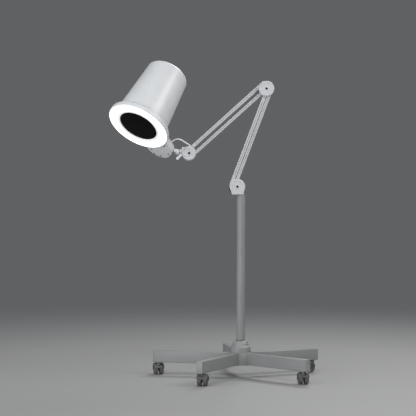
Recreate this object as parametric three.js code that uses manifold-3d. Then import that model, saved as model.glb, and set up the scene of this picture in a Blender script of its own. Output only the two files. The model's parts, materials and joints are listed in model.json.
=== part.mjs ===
// Surgical light: a tapered lamp head with a glowing ring, carried by a two-section parallelogram arm
// with round knuckles, on an upright pole and a five-legged base with twin-wheel castors.
//
// Millimetres, +Z up. Everything is laid out from the pole's axis at floor level, with the arm in the
// XZ plane and the user at -Y; the whole group is then shifted so that its origin is at the middle of
// its footprint, on the floor.

import * as THREE from "three";
import { mergeVertices } from "three/addons/utils/BufferGeometryUtils.js";
import Module from "manifold-3d";

const wasm = await Module();
wasm.setup();

// ---------------------------------------------------------------- driving dimensions

const GAP = 0.3; // running clearance between neighbouring pieces

const FOOTPRINT_MIDDLE = { x: -101, y: 22 };

const LEG = { count: 5, firstAngle: 189.2, width: 25, bottom: 50, top: 97, wall: 2, end: 355.7 };
const LEG_CAP = { plate: 3, insert: 12 };
const HUB = { flat: 43, bottom: 48.5, socketFloor: 60 };
const HUB_COVER = { skirt: 40, shoulder: 125, dome: 32, top: 145, wall: 2.5 };

const CASTOR = {
  ring: 332.6, // how far the stems stand from the pole's axis
  trail: 11,
  halfWidth: 21.5,
  hood: 24.6,
  hoodInside: 23.1,
  hoodFrom: 14, // the arch over the wheels, in degrees round the axle
  hoodTo: 196,
  webHalf: 3,
  webTop: 38.5,
  webRadius: 8,
  boss: 9,
  bossFoot: 39,
  stem: 5,
  stemFoot: 44,
  stemTop: 78,
};
const CASTOR_HEADINGS = [-80, -98, -84, 5, -95]; // degrees, the way each castor last rolled
const WHEEL = { radius: 22, inner: 3.6, outer: 19.4, sides: 16, chamfer: 4, axle: 4 };

const POLE = { radius: 17, bore: 15, top: 720 };
const BUSH = { bore: 8.3, bottom: 690, flangeTop: 725 };
const SPINDLE = { radius: 8, bottom: 692 };

const BAR = { halfDepth: 9.5, mainHeight: 15.5, linkHeight: 14 };
const GROOVE = { half: 2.4, depth: 1.2, end: 34 };
const PIN = { radius: 4, hole: 4.4 };
const PLATE = { inside: 10.2, outside: 12.7 }; // distance of the knuckle side plates from the arm plane
const COVER = { inside: 13, outside: 20, wall: 2.2, radius: 31, headRadius: 28, bevel: 3 };
const SPRING_ROOM = { wall: 2.2, half: 7, fromPivot: 40, lowerTop: 20, upperHead: 30 };
const HOOK_SLOT = { fromPivot: 44, length: 14, half: 1.8 };
const SCREW = { shank: 2.5, head: 4.2, headHole: 4.7, seat: 17, hole: 3 };

// Knuckle centres and arm pivots, in the arm plane (x, z).
const BASE_KNUCKLE = new THREE.Vector2(-15.2, 758);
const ELBOW = new THREE.Vector2(99.6, 1149.6);
const HEAD_KNUCKLE = new THREE.Vector2(-208.8, 890.8);

const LOWER = { length: 384.8, lean: 20.5, main: new THREE.Vector2(-38.8, 769.2) };
LOWER.link = new THREE.Vector2(-17.8, 780.1);
const UPPER = { length: 400, drop: 42.2, mainFromElbow: new THREE.Vector2(-11.3, 24.4) };

const BASE_COVER = { left: -36, right: 8, gap: 1, rearShift: new THREE.Vector2(-3, -2), rearExtra: 1.5 };
const BASE_BRACKET = { radius: 28.5, left: -33.5, right: 5.5, gap: 1.5, footHeight: 8, washer: 12 };
const ELBOW_BRACKET = { radius: 29, bolt: 3.5 };
const HEAD_BRACKET = { radius: 26, left: -237, right: -226, top: 915.5, below: 7 };

const HEAD = {
  axisBack: new THREE.Vector3(0.399, 0.481, 0.781), // from the glowing face to the closed rear end
  lugBolt: new THREE.Vector3(190.2, 0, 26.1), // the swing bolt, in the head's own frame
  lugTurn: 39, // degrees between the lug and the stem, about the head's axis
  lip: 127.5,
  lipDepth: 17.5,
  lipWall: 3,
  neck: 107,
  rear: 86,
  length: 286,
  rearRound: 16,
  wall: 2.5,
  sides: 36,
};
const SWING_BOLT = new THREE.Vector3(-263, 0, 899); // where the lug's bolt sits, on the stem's axis
const LUG = { front: 8, back: 34.2, wall: 2.5, cover: 2, earRadius: 9, earHalf: 3.5, earRoot: [177, 9] };
const SWING = { shank: 3, hole: 3.4, head: 5.4, headHeight: 3.6, nut: 5.6, nutHeight: 3.8 };
const YOKE = { cheek: 3.5, stem: 6.5, stemStart: -251.5, stemEnd: -231, root: 10.5 };
const COLLAR = { radius: 10.4, left: -245, right: -229, bore: 6.9 };
const COLLAR_EARS = { right: -238, half: 6.4, below: 4.5, splitTo: -239.5, splitHalf: 0.8 };
const LEVER = { x: -241.3, z: 884.3, tipX: -254.5, tipZ: 870, half: 5.6, near: -7, far: -12.6 };
const LEVER_SCREW = { radius: 2.4, end: 8, nut: 4.4, nutEnd: 10 };
const GLAND = { x: 159, y: 10.5, radius: 5, height: 10 };
const BUTTON = { x: 152, y: 34, radius: 7, proud: 3 };
const WINDOW = { radius: 79.4, front: 3.5, back: 6.5 };
const BOARD = { inside: 90, outside: 122, front: 7, back: 8.6, sides: 28 };
const HEAT_SINK = { inside: 72, outside: 123, front: 9.2, back: 12.8, sides: 28, fins: 8, finTip: 44 };
const LENS_BARREL = { inside: 58, outside: 62, front: 9, back: 70, sides: 32 };
const LAMP_MODULE = { radius: 34, front: 30, back: 66, nose: 20, noseFront: 22, sides: 24 };
const WIRE = { radius: 2.8, sides: 8, steps: 30 };
const WIRE_ENTRY = { from: [-198.4, 17, 913.4], to: [-204, 17, 920.5], radius: 4.2 };

// ---------------------------------------------------------------- materials

const paint = (color, roughness, metalness) =>
  new THREE.MeshStandardMaterial({ color, roughness, metalness });

const whitePaint = () => paint(0xd9dbdd, 0.45, 0.0);
const greyPaint = () => paint(0x9b9fa1, 0.5, 0.0);
const steel = () => paint(0xa8abad, 0.35, 0.9);
const springSteel = () => paint(0x6f7376, 0.4, 0.9);
const blackPlastic = () => paint(0x1d1e20, 0.55, 0.0);
const castorGrey = () => paint(0x55585a, 0.6, 0.0);
const rimGrey = () => paint(0xb4b8bb, 0.4, 0.2);
const darkGlass = () => paint(0x050506, 0.08, 0.0);
const glowWhite = () =>
  new THREE.MeshStandardMaterial({ color: 0xffffff, emissive: 0xffffff, roughness: 0.5 });
const boardGreen = () => paint(0x2e6b4a, 0.6, 0.1);
const aluminium = () => paint(0xb9bcbf, 0.4, 0.85);
const whiteCable = () => paint(0xe4e5e6, 0.5, 0.0);

// ---------------------------------------------------------------- solids

// A closed geometry as a solid for joining and cutting; triangles with no area are dropped.
function solid(geometry) {
  const plain = geometry.clone();
  plain.deleteAttribute("normal");
  plain.deleteAttribute("uv");
  const merged = mergeVertices(plain, 1e-4);
  const index = merged.index.array;
  const corners = [];
  for (let i = 0; i < index.length; i += 3) {
    const [a, b, c] = [index[i], index[i + 1], index[i + 2]];
    if (a !== b && b !== c && c !== a) {
      corners.push(a, b, c);
    }
  }
  return new wasm.Manifold(
    new wasm.Mesh({
      numProp: 3,
      vertProperties: new Float32Array(merged.attributes.position.array),
      triVerts: new Uint32Array(corners),
    }),
  );
}

function geometryOf(body) {
  const mesh = body.getMesh();
  const geometry = new THREE.BufferGeometry();
  geometry.setAttribute("position", new THREE.BufferAttribute(mesh.vertProperties, 3));
  geometry.setIndex(new THREE.BufferAttribute(mesh.triVerts, 1));
  geometry.computeVertexNormals();
  return geometry;
}

function block(x0, x1, y0, y1, z0, z1) {
  const geometry = new THREE.BoxGeometry(x1 - x0, y1 - y0, z1 - z0);
  return solid(geometry.translate((x0 + x1) / 2, (y0 + y1) / 2, (z0 + z1) / 2));
}

// A round bar between two points.
function rod(from, to, radius, sides = 16, endRadius = radius) {
  const a = new THREE.Vector3(...from);
  const b = new THREE.Vector3(...to);
  const along = b.clone().sub(a);
  const geometry = new THREE.CylinderGeometry(endRadius, radius, along.length(), sides);
  const up = new THREE.Vector3(0, 1, 0);
  geometry.applyQuaternion(new THREE.Quaternion().setFromUnitVectors(up, along.clone().normalize()));
  return solid(geometry.translate((a.x + b.x) / 2, (a.y + b.y) / 2, (a.z + b.z) / 2));
}

// A round pin across the arm plane, at (x, z).
const crossRod = (at, y0, y1, radius, sides = 12) => rod([at.x, y0, at.y], [at.x, y1, at.y], radius, sides);

// An outline in (x, y) made solid from z0 to z1.
function prism(shape, z0, z1, curveSegments = 5) {
  const geometry = new THREE.ExtrudeGeometry(shape, { depth: z1 - z0, bevelEnabled: false, curveSegments });
  return solid(geometry.translate(0, 0, z0));
}

// An outline in the arm plane (x, z) made solid from y0 to y1.
function slab(shape, y0, y1, curveSegments = 4) {
  const geometry = new THREE.ExtrudeGeometry(shape, { depth: y1 - y0, bevelEnabled: false, curveSegments });
  geometry.rotateX(Math.PI / 2);
  return solid(geometry.translate(0, y1, 0));
}

// A (radius, height) profile turned about Z. The profile runs anticlockwise, seen with radius to the
// right and height up, and either closes on itself or starts and ends on the axis.
function turned(points, sides, closed = true) {
  const profile = points.map(([r, z]) => new THREE.Vector2(r, z));
  if (closed) {
    profile.push(profile[0].clone());
  }
  const geometry = new THREE.LatheGeometry(profile, sides);
  return solid(geometry.rotateX(Math.PI / 2));
}

function annulus(r0, r1, z0, z1, sides) {
  return turned([[r0, z0], [r1, z0], [r1, z1], [r0, z1]], sides);
}

function stadium(a, b, radius) {
  const along = Math.atan2(b.y - a.y, b.x - a.x);
  const shape = new THREE.Shape();
  shape.absarc(a.x, a.y, radius, along + Math.PI / 2, along + 1.5 * Math.PI, false);
  shape.absarc(b.x, b.y, radius, along - Math.PI / 2, along + Math.PI / 2, false);
  shape.closePath();
  return shape;
}

function disc(centre, radius) {
  const shape = new THREE.Shape();
  shape.absarc(centre.x, centre.y, radius, 0, 2 * Math.PI, false);
  return shape;
}

const towards = (angleDegrees) => {
  const angle = THREE.MathUtils.degToRad(angleDegrees);
  return new THREE.Vector2(Math.cos(angle), Math.sin(angle));
};

// ---------------------------------------------------------------- scene graph

const lamp = new THREE.Group();
lamp.position.set(-FOOTPRINT_MIDDLE.x, -FOOTPRINT_MIDDLE.y, 0);

function piece(name, body, material, parent = lamp) {
  const mesh = new THREE.Mesh(geometryOf(body), material);
  mesh.name = name;
  parent.add(mesh);
  return mesh;
}

// ---------------------------------------------------------------- base

const legAngle = (i) => -(LEG.firstAngle - (360 / LEG.count) * i);

function hubBody() {
  const sides = 2 * LEG.count;
  const outline = new THREE.Shape();
  for (let k = 0; k < sides; k += 1) {
    const corner = towards(legAngle(0) + (180 / sides) * (2 * k + 1));
    corner.multiplyScalar(HUB.flat / Math.cos(Math.PI / sides));
    if (k === 0) {
      outline.moveTo(corner.x, corner.y);
    } else {
      outline.lineTo(corner.x, corner.y);
    }
  }
  outline.closePath();
  const socket = rod([0, 0, HUB.socketFloor], [0, 0, LEG.top + 1], POLE.radius + GAP, 24);
  return prism(outline, HUB.bottom, LEG.top).subtract(socket);
}

function hubCoverBody() {
  const { skirt, shoulder, dome, top, wall } = HUB_COVER;
  const foot = LEG.top + GAP;
  const collar = POLE.radius + 0.6;
  const outside = [
    [skirt, foot],
    [skirt, shoulder - 5],
    [dome + 1, shoulder],
    [dome - 2, top - 8],
    [dome - 8, top - 1],
    [collar, top],
  ];
  const inside = [
    [collar, top - wall],
    [dome - 8, top - wall - 3],
    [dome - wall, shoulder - wall],
    [skirt - wall, shoulder - wall - 5],
    [skirt - wall, foot],
  ];
  return turned([...outside, ...inside], 24);
}

function legBody() {
  const half = LEG.width / 2;
  const start = HUB.flat + GAP;
  const finish = LEG.end - LEG_CAP.plate - GAP;
  const tube = block(start, finish, -half, half, LEG.bottom, LEG.top);
  const inner = half - LEG.wall;
  const hollow = block(start - 1, finish + 1, -inner, inner, LEG.bottom + LEG.wall, LEG.top - LEG.wall);
  const { ring, stem } = CASTOR;
  const stemHole = rod([ring, 0, LEG.bottom - 1], [ring, 0, LEG.bottom + 4], stem + 0.7);
  return tube.subtract(hollow).subtract(stemHole);
}

function legCapBody() {
  const half = LEG.width / 2;
  const plate = block(LEG.end - LEG_CAP.plate, LEG.end, -half, half, LEG.bottom, LEG.top);
  const inner = half - LEG.wall - GAP;
  const low = LEG.bottom + LEG.wall + GAP;
  const high = LEG.top - LEG.wall - GAP;
  const start = LEG.end - LEG_CAP.plate - LEG_CAP.insert;
  return plate.add(block(start, LEG.end - 1, -inner, inner, low, high));
}

// The castor's own frame has the stem on the Z axis and the wheels trailing towards -X.
function castorHoodBody() {
  const { trail, halfWidth, hood, hoodInside, hoodFrom, hoodTo } = CASTOR;
  const axle = new THREE.Vector2(-trail, WHEEL.radius);
  const arch = new THREE.Shape();
  const [low, high] = [THREE.MathUtils.degToRad(hoodFrom), THREE.MathUtils.degToRad(hoodTo)];
  arch.absarc(axle.x, axle.y, hood, low, high, false);
  arch.absarc(axle.x, axle.y, hoodInside, high, low, true);
  arch.closePath();
  const boss = rod([0, 0, CASTOR.bossFoot], [0, 0, LEG.bottom - 0.6], CASTOR.boss, 10);
  const wheelRoom = crossRod(axle, -halfWidth - 1, halfWidth + 1, hoodInside, 18);
  const webShape = stadium(axle, new THREE.Vector2(-trail / 2, CASTOR.webTop), CASTOR.webRadius);
  const web = slab(webShape, -CASTOR.webHalf, CASTOR.webHalf);
  const stem = rod([0, 0, CASTOR.stemFoot], [0, 0, CASTOR.stemTop], CASTOR.stem, 10);
  const axleHole = crossRod(axle, -halfWidth, halfWidth, WHEEL.axle + 0.4);
  return slab(arch, -halfWidth, halfWidth, 5)
    .add(boss.subtract(wheelRoom))
    .add(web)
    .add(stem.subtract(wheelRoom))
    .subtract(axleHole);
}

// Two wheels on one axle, with a flat of each tread turned down to the floor.
function wheelPairBody() {
  const { radius, inner, outer, sides, chamfer, axle } = WHEEL;
  const corner = 1 / Math.cos(Math.PI / sides);
  const wheel = turned(
    [
      [0, inner],
      [(radius - chamfer) * corner, inner],
      [radius * corner, inner + chamfer],
      [radius * corner, outer - chamfer],
      [(radius - chamfer) * corner, outer],
      [0, outer],
    ],
    sides,
    false,
  );
  const halfStep = 180 / sides;
  const across = rod([0, 0, -inner - 1], [0, 0, inner + 1], axle);
  const pair = wheel.add(wheel.rotate([180, 0, 0])).add(across);
  return pair
    .rotate([0, 0, halfStep])
    .rotate([90, 0, 0])
    .translate([-CASTOR.trail, 0, radius]);
}

piece("hub", hubBody(), greyPaint());
piece("hub_cover", hubCoverBody(), greyPaint());
for (let i = 0; i < LEG.count; i += 1) {
  const spoke = new THREE.Group();
  spoke.rotation.z = THREE.MathUtils.degToRad(legAngle(i));
  lamp.add(spoke);
  piece(`leg_${i + 1}`, legBody(), greyPaint(), spoke);
  piece(`leg_cap_${i + 1}`, legCapBody(), greyPaint(), spoke);

  const castor = new THREE.Group();
  const at = towards(legAngle(i)).multiplyScalar(CASTOR.ring);
  castor.position.set(at.x, at.y, 0);
  castor.rotation.z = THREE.MathUtils.degToRad(CASTOR_HEADINGS[i]);
  lamp.add(castor);
  piece(`castor_hood_${i + 1}`, castorHoodBody(), castorGrey(), castor);
  piece(`castor_wheels_${i + 1}`, wheelPairBody(), castorGrey(), castor);
}

// ---------------------------------------------------------------- pole

function poleBody() {
  const foot = HUB.socketFloor + GAP;
  return annulus(POLE.bore, POLE.radius, foot, POLE.top, 28);
}

function poleBushBody() {
  const sleeve = POLE.bore - GAP;
  const flange = POLE.top + GAP;
  const profile = [
    [BUSH.bore, BUSH.bottom],
    [sleeve, BUSH.bottom],
    [sleeve, flange],
    [POLE.radius, flange],
    [POLE.radius, BUSH.flangeTop],
    [BUSH.bore, BUSH.flangeTop],
  ];
  return turned(profile, 24);
}

piece("pole", poleBody(), greyPaint());
piece("pole_bush", poleBushBody(), blackPlastic());

// ---------------------------------------------------------------- arm bars

// A bar with round ends on pivots a and b, with a shallow groove along its front and back.
function barBody(a, b, height) {
  const { halfDepth } = BAR;
  const along = b.clone().sub(a).normalize();
  const grooveFrom = a.clone().addScaledVector(along, GROOVE.end);
  const grooveTo = b.clone().addScaledVector(along, -GROOVE.end);
  const groove = stadium(grooveFrom, grooveTo, GROOVE.half);
  return slab(stadium(a, b, height / 2), -halfDepth, halfDepth)
    .subtract(slab(groove, halfDepth - GROOVE.depth, halfDepth + 1, 4))
    .subtract(slab(groove, -halfDepth - 1, GROOVE.depth - halfDepth, 4));
}

const pinHole = (at, radius = PIN.hole) => crossRod(at, -30, 30, radius, 16);

// Cuts that leave two thin ears round a pivot, or one tongue between a partner's ears.
const FORK = { reach: 24, slotHalf: 6.7, tongueHalf: 6.3, longTongue: 38, tongueHole: 3.9 };

const forkCut = (at) => slab(disc(at, FORK.reach), -FORK.slotHalf, FORK.slotHalf);

function tongueCut(at, reach = FORK.reach) {
  const side = slab(disc(at, reach), FORK.tongueHalf, BAR.halfDepth + 1);
  return side.add(slab(disc(at, reach), -BAR.halfDepth - 1, -FORK.tongueHalf));
}

// The room inside a main bar for its counter-balance spring, and the slot that the spring hooks into.
function springRoom(a, b, fromB) {
  const { wall, half, fromPivot } = SPRING_ROOM;
  const along = b.clone().sub(a).normalize();
  const start = a.clone().addScaledVector(along, fromPivot);
  const finish = b.clone().addScaledVector(along, -fromB);
  return slab(stadium(start, finish, BAR.mainHeight / 2 - wall), -half, half);
}

function hookSlot(a, b) {
  const along = b.clone().sub(a).normalize();
  const start = a.clone().addScaledVector(along, HOOK_SLOT.fromPivot);
  const finish = start.clone().addScaledVector(along, HOOK_SLOT.length);
  return slab(stadium(start, finish, HOOK_SLOT.half), 0, BAR.halfDepth + 1, 4);
}

class Helix extends THREE.Curve {
  constructor(start, along, length, radius, turns) {
    super();
    Object.assign(this, { start, along, length, radius, turns });
    this.sideways = new THREE.Vector3(-along.z, 0, along.x);
  }

  getPoint(t, target = new THREE.Vector3()) {
    const angle = 2 * Math.PI * this.turns * t;
    return target
      .copy(this.start)
      .addScaledVector(this.along, this.length * t)
      .addScaledVector(this.sideways, this.radius * Math.cos(angle))
      .add(new THREE.Vector3(0, this.radius * Math.sin(angle), 0));
  }
}

function polygon(radius, sides) {
  const shape = new THREE.Shape();
  for (let k = 0; k < sides; k += 1) {
    const angle = (2 * Math.PI * k) / sides;
    shape[k ? "lineTo" : "moveTo"](radius * Math.cos(angle), radius * Math.sin(angle));
  }
  shape.closePath();
  return shape;
}

const SPRING = { fromPivot: 60, length: 130, radius: 3.6, wire: 0.9, turns: 10, stepsPerTurn: 6 };

function springBody(a, b) {
  const flat = b.clone().sub(a).normalize();
  const along = new THREE.Vector3(flat.x, 0, flat.y);
  const start = new THREE.Vector3(a.x, 0, a.y).addScaledVector(along, SPRING.fromPivot);
  const path = new Helix(start, along, SPRING.length, SPRING.radius, SPRING.turns);
  const steps = SPRING.turns * SPRING.stepsPerTurn;
  const section = polygon(SPRING.wire, 4);
  return solid(new THREE.ExtrudeGeometry(section, { extrudePath: path, steps, bevelEnabled: false }));
}

const lowerAlong = towards(90 - LOWER.lean).multiplyScalar(LOWER.length);
LOWER.mainTop = LOWER.main.clone().add(lowerAlong);
LOWER.linkTop = LOWER.link.clone().add(lowerAlong);

const upperAlong = towards(180 + UPPER.drop).multiplyScalar(UPPER.length);
UPPER.main = ELBOW.clone().add(UPPER.mainFromElbow);
UPPER.link = ELBOW.clone();
UPPER.mainHead = UPPER.main.clone().add(upperAlong);
UPPER.linkHead = UPPER.link.clone().add(upperAlong);

const lowerMain = barBody(LOWER.main, LOWER.mainTop, BAR.mainHeight)
  .subtract(forkCut(LOWER.mainTop))
  .subtract(springRoom(LOWER.main, LOWER.mainTop, SPRING_ROOM.lowerTop))
  .subtract(pinHole(LOWER.main))
  .subtract(pinHole(LOWER.mainTop));
piece("lower_main_bar", lowerMain, whitePaint());
piece("lower_spring", springBody(LOWER.main, LOWER.mainTop), springSteel());

const lowerLink = barBody(LOWER.link, LOWER.linkTop, BAR.linkHeight)
  .subtract(forkCut(LOWER.linkTop))
  .subtract(pinHole(LOWER.link))
  .subtract(pinHole(LOWER.linkTop));
piece("lower_link_bar", lowerLink, whitePaint());

const upperMain = barBody(UPPER.main, UPPER.mainHead, BAR.mainHeight)
  .subtract(tongueCut(UPPER.main))
  .subtract(springRoom(UPPER.main, UPPER.mainHead, SPRING_ROOM.upperHead))
  .subtract(hookSlot(UPPER.main, UPPER.mainHead))
  .subtract(pinHole(UPPER.main))
  .subtract(pinHole(UPPER.mainHead));
piece("upper_main_bar", upperMain, whitePaint());
piece("upper_spring", springBody(UPPER.main, UPPER.mainHead), springSteel());

const upperLink = barBody(UPPER.link, UPPER.linkHead, BAR.linkHeight)
  .subtract(tongueCut(UPPER.link, FORK.longTongue))
  .subtract(pinHole(UPPER.link, FORK.tongueHole))
  .subtract(pinHole(UPPER.linkHead));
piece("upper_link_bar", upperLink, whitePaint());

// ---------------------------------------------------------------- knuckles

// Two side plates of one outline, joined by riveted pins and bored for the cover screw.
function platesBody(shape, pins, centre, screwHole) {
  let body = slab(shape, PLATE.inside, PLATE.outside, 12);
  body = body.add(slab(shape, -PLATE.outside, -PLATE.inside, 12));
  for (const at of pins) {
    body = body.add(crossRod(at, -PLATE.outside, PLATE.outside, PIN.radius));
  }
  return body.subtract(pinHole(centre, screwHole));
}

// A dished round cover that stands off the side plates towards +Y; side -1 makes the front one.
function roundCoverBody(centre, radius, side) {
  const { inside, outside, wall, bevel } = COVER;
  const depth = outside - inside;
  const profile = [
    [SCREW.headHole, depth - wall],
    [radius - wall - bevel, depth - wall],
    [radius - wall, depth - wall - bevel + 1],
    [radius - wall, 0],
    [radius, 0],
    [radius, depth - bevel],
    [radius - bevel, depth],
    [SCREW.headHole, depth],
  ];
  const cap = turned(profile, 24);
  return cap.rotate([-90 * side, 0, 0]).translate([centre.x, side * inside, centre.y]);
}

// A screw through both covers, with a round head at each end.
function coverScrewBody(centre, shank) {
  const { seat, head } = SCREW;
  return crossRod(centre, -seat, seat, shank)
    .add(crossRod(centre, -COVER.outside, -seat + 1, head))
    .add(crossRod(centre, seat - 1, COVER.outside, head));
}

// The base knuckle's outline: a round top on a flat foot.
function baseOutline(centre, radius, footLeft, footRight, footZ) {
  const [from, to] = [THREE.MathUtils.degToRad(215), THREE.MathUtils.degToRad(-10)];
  const shape = new THREE.Shape();
  shape.moveTo(footLeft, footZ);
  shape.absarc(centre.x, centre.y, radius, from, to, true);
  shape.lineTo(footRight, footZ);
  shape.closePath();
  return shape;
}

function baseCoverBody(centre, radius, side) {
  const { inside, outside, wall } = COVER;
  const { left, right, gap } = BASE_COVER;
  const foot = BUSH.flangeTop + gap;
  const outer = baseOutline(centre, radius, left, right, foot);
  const inner = baseOutline(centre, radius - wall, left + wall, right - wall, foot + wall);
  const shell = side < 0
    ? slab(outer, -outside, -inside, 16).subtract(slab(inner, wall - outside, 1 - inside, 16))
    : slab(outer, inside, outside, 16).subtract(slab(inner, inside - 1, outside - wall, 16));
  return shell.subtract(pinHole(BASE_KNUCKLE, SCREW.headHole));
}

function baseBracketBody() {
  const { radius, left, right, gap, footHeight, washer } = BASE_BRACKET;
  const foot = BUSH.flangeTop + gap;
  const outline = baseOutline(BASE_KNUCKLE, radius, left, right, foot);
  const footBlock = block(left + 0.5, right - 0.5, -PLATE.outside, PLATE.outside, foot, foot + footHeight);
  const inBlock = foot + footHeight / 2;
  const thrustWasher = rod([0, 0, BUSH.flangeTop + GAP], [0, 0, inBlock], washer);
  const spindle = rod([0, 0, SPINDLE.bottom], [0, 0, inBlock], SPINDLE.radius, 20);
  return platesBody(outline, [LOWER.main, LOWER.link], BASE_KNUCKLE, SCREW.hole)
    .add(footBlock)
    .add(thrustWasher)
    .add(spindle);
}

const rearCoverCentre = BASE_KNUCKLE.clone().add(BASE_COVER.rearShift);
const rearCoverRadius = COVER.radius + BASE_COVER.rearExtra;
piece("base_bracket", baseBracketBody(), whitePaint());
piece("base_cover_front", baseCoverBody(BASE_KNUCKLE, COVER.radius, -1), whitePaint());
piece("base_cover_rear", baseCoverBody(rearCoverCentre, rearCoverRadius, 1), whitePaint());
piece("base_cover_screw", coverScrewBody(BASE_KNUCKLE, SCREW.shank), steel());

const elbowPins = [LOWER.mainTop, LOWER.linkTop, UPPER.main];
const elbowOutline = disc(ELBOW, ELBOW_BRACKET.radius);
const elbowPlates = platesBody(elbowOutline, elbowPins, ELBOW, ELBOW_BRACKET.bolt + GAP);
piece("elbow_bracket", elbowPlates, whitePaint());
piece("elbow_cover_front", roundCoverBody(ELBOW, COVER.radius, -1), whitePaint());
piece("elbow_cover_rear", roundCoverBody(ELBOW, COVER.radius, 1), whitePaint());
piece("elbow_pivot_bolt", coverScrewBody(ELBOW, ELBOW_BRACKET.bolt), steel());

// The head knuckle carries a split collar that clamps the yoke's stem.
function headBracketBody() {
  const { radius, left, right, top, below } = HEAD_BRACKET;
  const { half, splitTo, splitHalf } = COLLAR_EARS;
  const stemZ = SWING_BOLT.z;
  const pins = [UPPER.mainHead, UPPER.linkHead];
  const plates = platesBody(disc(HEAD_KNUCKLE, radius), pins, HEAD_KNUCKLE, SCREW.hole);
  const corner = block(left, right, -PLATE.outside, PLATE.outside, stemZ - below, top);
  const collar = rod([COLLAR.left, 0, stemZ], [COLLAR.right, 0, stemZ], COLLAR.radius, 24);
  const earsFoot = LEVER.z - COLLAR_EARS.below;
  const ears = block(COLLAR.left + 0.5, COLLAR_EARS.right, -half, half, earsFoot, stemZ - 5);
  const split = block(COLLAR.left - 1, splitTo, -splitHalf, splitHalf, earsFoot - 1, stemZ);
  const bore = rod([COLLAR.left - 1, 0, stemZ], [YOKE.stemEnd + 1.5, 0, stemZ], COLLAR.bore, 24);
  const clampHole = pinHole(new THREE.Vector2(LEVER.x, LEVER.z), LEVER_SCREW.radius + 0.4);
  return plates.add(corner).add(collar).add(ears).subtract(bore).subtract(split).subtract(clampHole);
}

function headCoverRearBody() {
  const { from, to, radius } = WIRE_ENTRY;
  return roundCoverBody(HEAD_KNUCKLE, COVER.headRadius, 1).add(rod(from, to, radius, 12, radius - 0.8));
}

piece("head_bracket", headBracketBody(), whitePaint());
piece("head_cover_front", roundCoverBody(HEAD_KNUCKLE, COVER.headRadius, -1), whitePaint());
piece("head_cover_rear", headCoverRearBody(), whitePaint());
piece("head_cover_screw", coverScrewBody(HEAD_KNUCKLE, SCREW.shank), steel());

// A flat lever on the clamp screw, standing in front of the collar and hanging down to the left.
function clampLeverBody() {
  const axis = new THREE.Vector2(LEVER.x, LEVER.z);
  const tip = new THREE.Vector2(LEVER.tipX, LEVER.tipZ);
  const hub = crossRod(axis, LEVER.far, LEVER.near, LEVER.half + 0.8);
  const arm = slab(stadium(axis, tip, LEVER.half), LEVER.far, LEVER.near - 1.2);
  const screw = crossRod(axis, LEVER.near - 1, LEVER_SCREW.end, LEVER_SCREW.radius);
  const nut = crossRod(axis, LEVER_SCREW.end - 1, LEVER_SCREW.nutEnd, LEVER_SCREW.nut, 6);
  return hub.add(arm).add(screw).add(nut);
}

piece("clamp_lever", clampLeverBody(), whitePaint());

// ---------------------------------------------------------------- yoke

// The head's own frame: Z runs back along the head, X points at the swing bolt in the lug.
const headAxes = (() => {
  const back = HEAD.axisBack.clone().normalize();
  const bolt = HEAD.lugBolt;
  const x = new THREE.Vector3(1, 0, 0).addScaledVector(back, -back.x).normalize();
  x.applyAxisAngle(back, THREE.MathUtils.degToRad(HEAD.lugTurn));
  const y = back.clone().cross(x);
  const centre = SWING_BOLT.clone()
    .addScaledVector(x, -bolt.x)
    .addScaledVector(y, -bolt.y)
    .addScaledVector(back, -bolt.z);
  return new THREE.Matrix4().makeBasis(x, y, back).setPosition(centre);
})();

const inHeadFrame = (body) => body.transform(headAxes.elements);
const fromHeadFrame = (x, y, z) => new THREE.Vector3(x, y, z).applyMatrix4(headAxes);

// Two cheeks in the plane of the lug, a root that joins them, and the round stem along X.
function yokeBody() {
  const { x, y, z } = HEAD.lugBolt;
  const headFromWorld = headAxes.clone().invert();
  const stemEndLocal = new THREE.Vector3(YOKE.stemEnd, 0, SWING_BOLT.z).applyMatrix4(headFromWorld);
  const boltFlat = new THREE.Vector2(x, y);
  const away = new THREE.Vector2(stemEndLocal.x - x, stemEndLocal.y - y).normalize();
  const rootAt = boltFlat.clone().addScaledVector(away, YOKE.root);
  const inner = LUG.earHalf + GAP;
  const outer = inner + YOKE.cheek;
  const cheekShape = stadium(boltFlat, rootAt, LUG.earRadius - 1);
  const swept = rod([x, y, z - inner], [x, y, z + inner], LUG.earRadius + 0.8, 24);
  const boltHole = rod([x, y, z - 20], [x, y, z + 20], SWING.hole);
  const fork = prism(cheekShape, z - outer, z + outer).subtract(swept).subtract(boltHole);
  const stem = rod([YOKE.stemStart, 0, SWING_BOLT.z], [YOKE.stemEnd, 0, SWING_BOLT.z], YOKE.stem, 20);
  const clear = inHeadFrame(rod([x, y, z - outer - 2], [x, y, z + outer + 2], LUG.earRadius + 0.8, 24));
  return inHeadFrame(fork).add(stem.subtract(clear));
}

function swingBoltBody() {
  const { x, y, z } = HEAD.lugBolt;
  const reach = LUG.earHalf + GAP + YOKE.cheek + GAP;
  const shank = rod([x, y, z - reach - 1], [x, y, z + reach + 1], SWING.shank);
  const head = rod([x, y, z + reach], [x, y, z + reach + SWING.headHeight], SWING.head);
  const nut = rod([x, y, z - reach - SWING.nutHeight], [x, y, z - reach], SWING.nut, 6);
  return inHeadFrame(shank.add(head).add(nut));
}

piece("yoke_fork", yokeBody(), whitePaint());
piece("swing_bolt", swingBoltBody(), steel());

// ---------------------------------------------------------------- lamp head

const head = new THREE.Group();
head.applyMatrix4(headAxes);
lamp.add(head);

// The lug's outline in the head's frame, set in by a margin for its hollow.
function lugOutline(margin) {
  const shape = new THREE.Shape();
  shape.moveTo(96, 86 - margin);
  shape.lineTo(118, 92 - margin);
  shape.bezierCurveTo(150, 104 - margin, 190 - margin, 82 - margin, 193 - margin, 46);
  shape.lineTo(187 - margin, 12);
  shape.quadraticCurveTo(181 - margin, margin - 7, 156, margin - 16);
  shape.lineTo(96, margin - 41);
  shape.closePath();
  return shape;
}

const drum = (radius, z0, z1) => rod([0, 0, z0], [0, 0, z1], radius, HEAD.sides);

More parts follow.
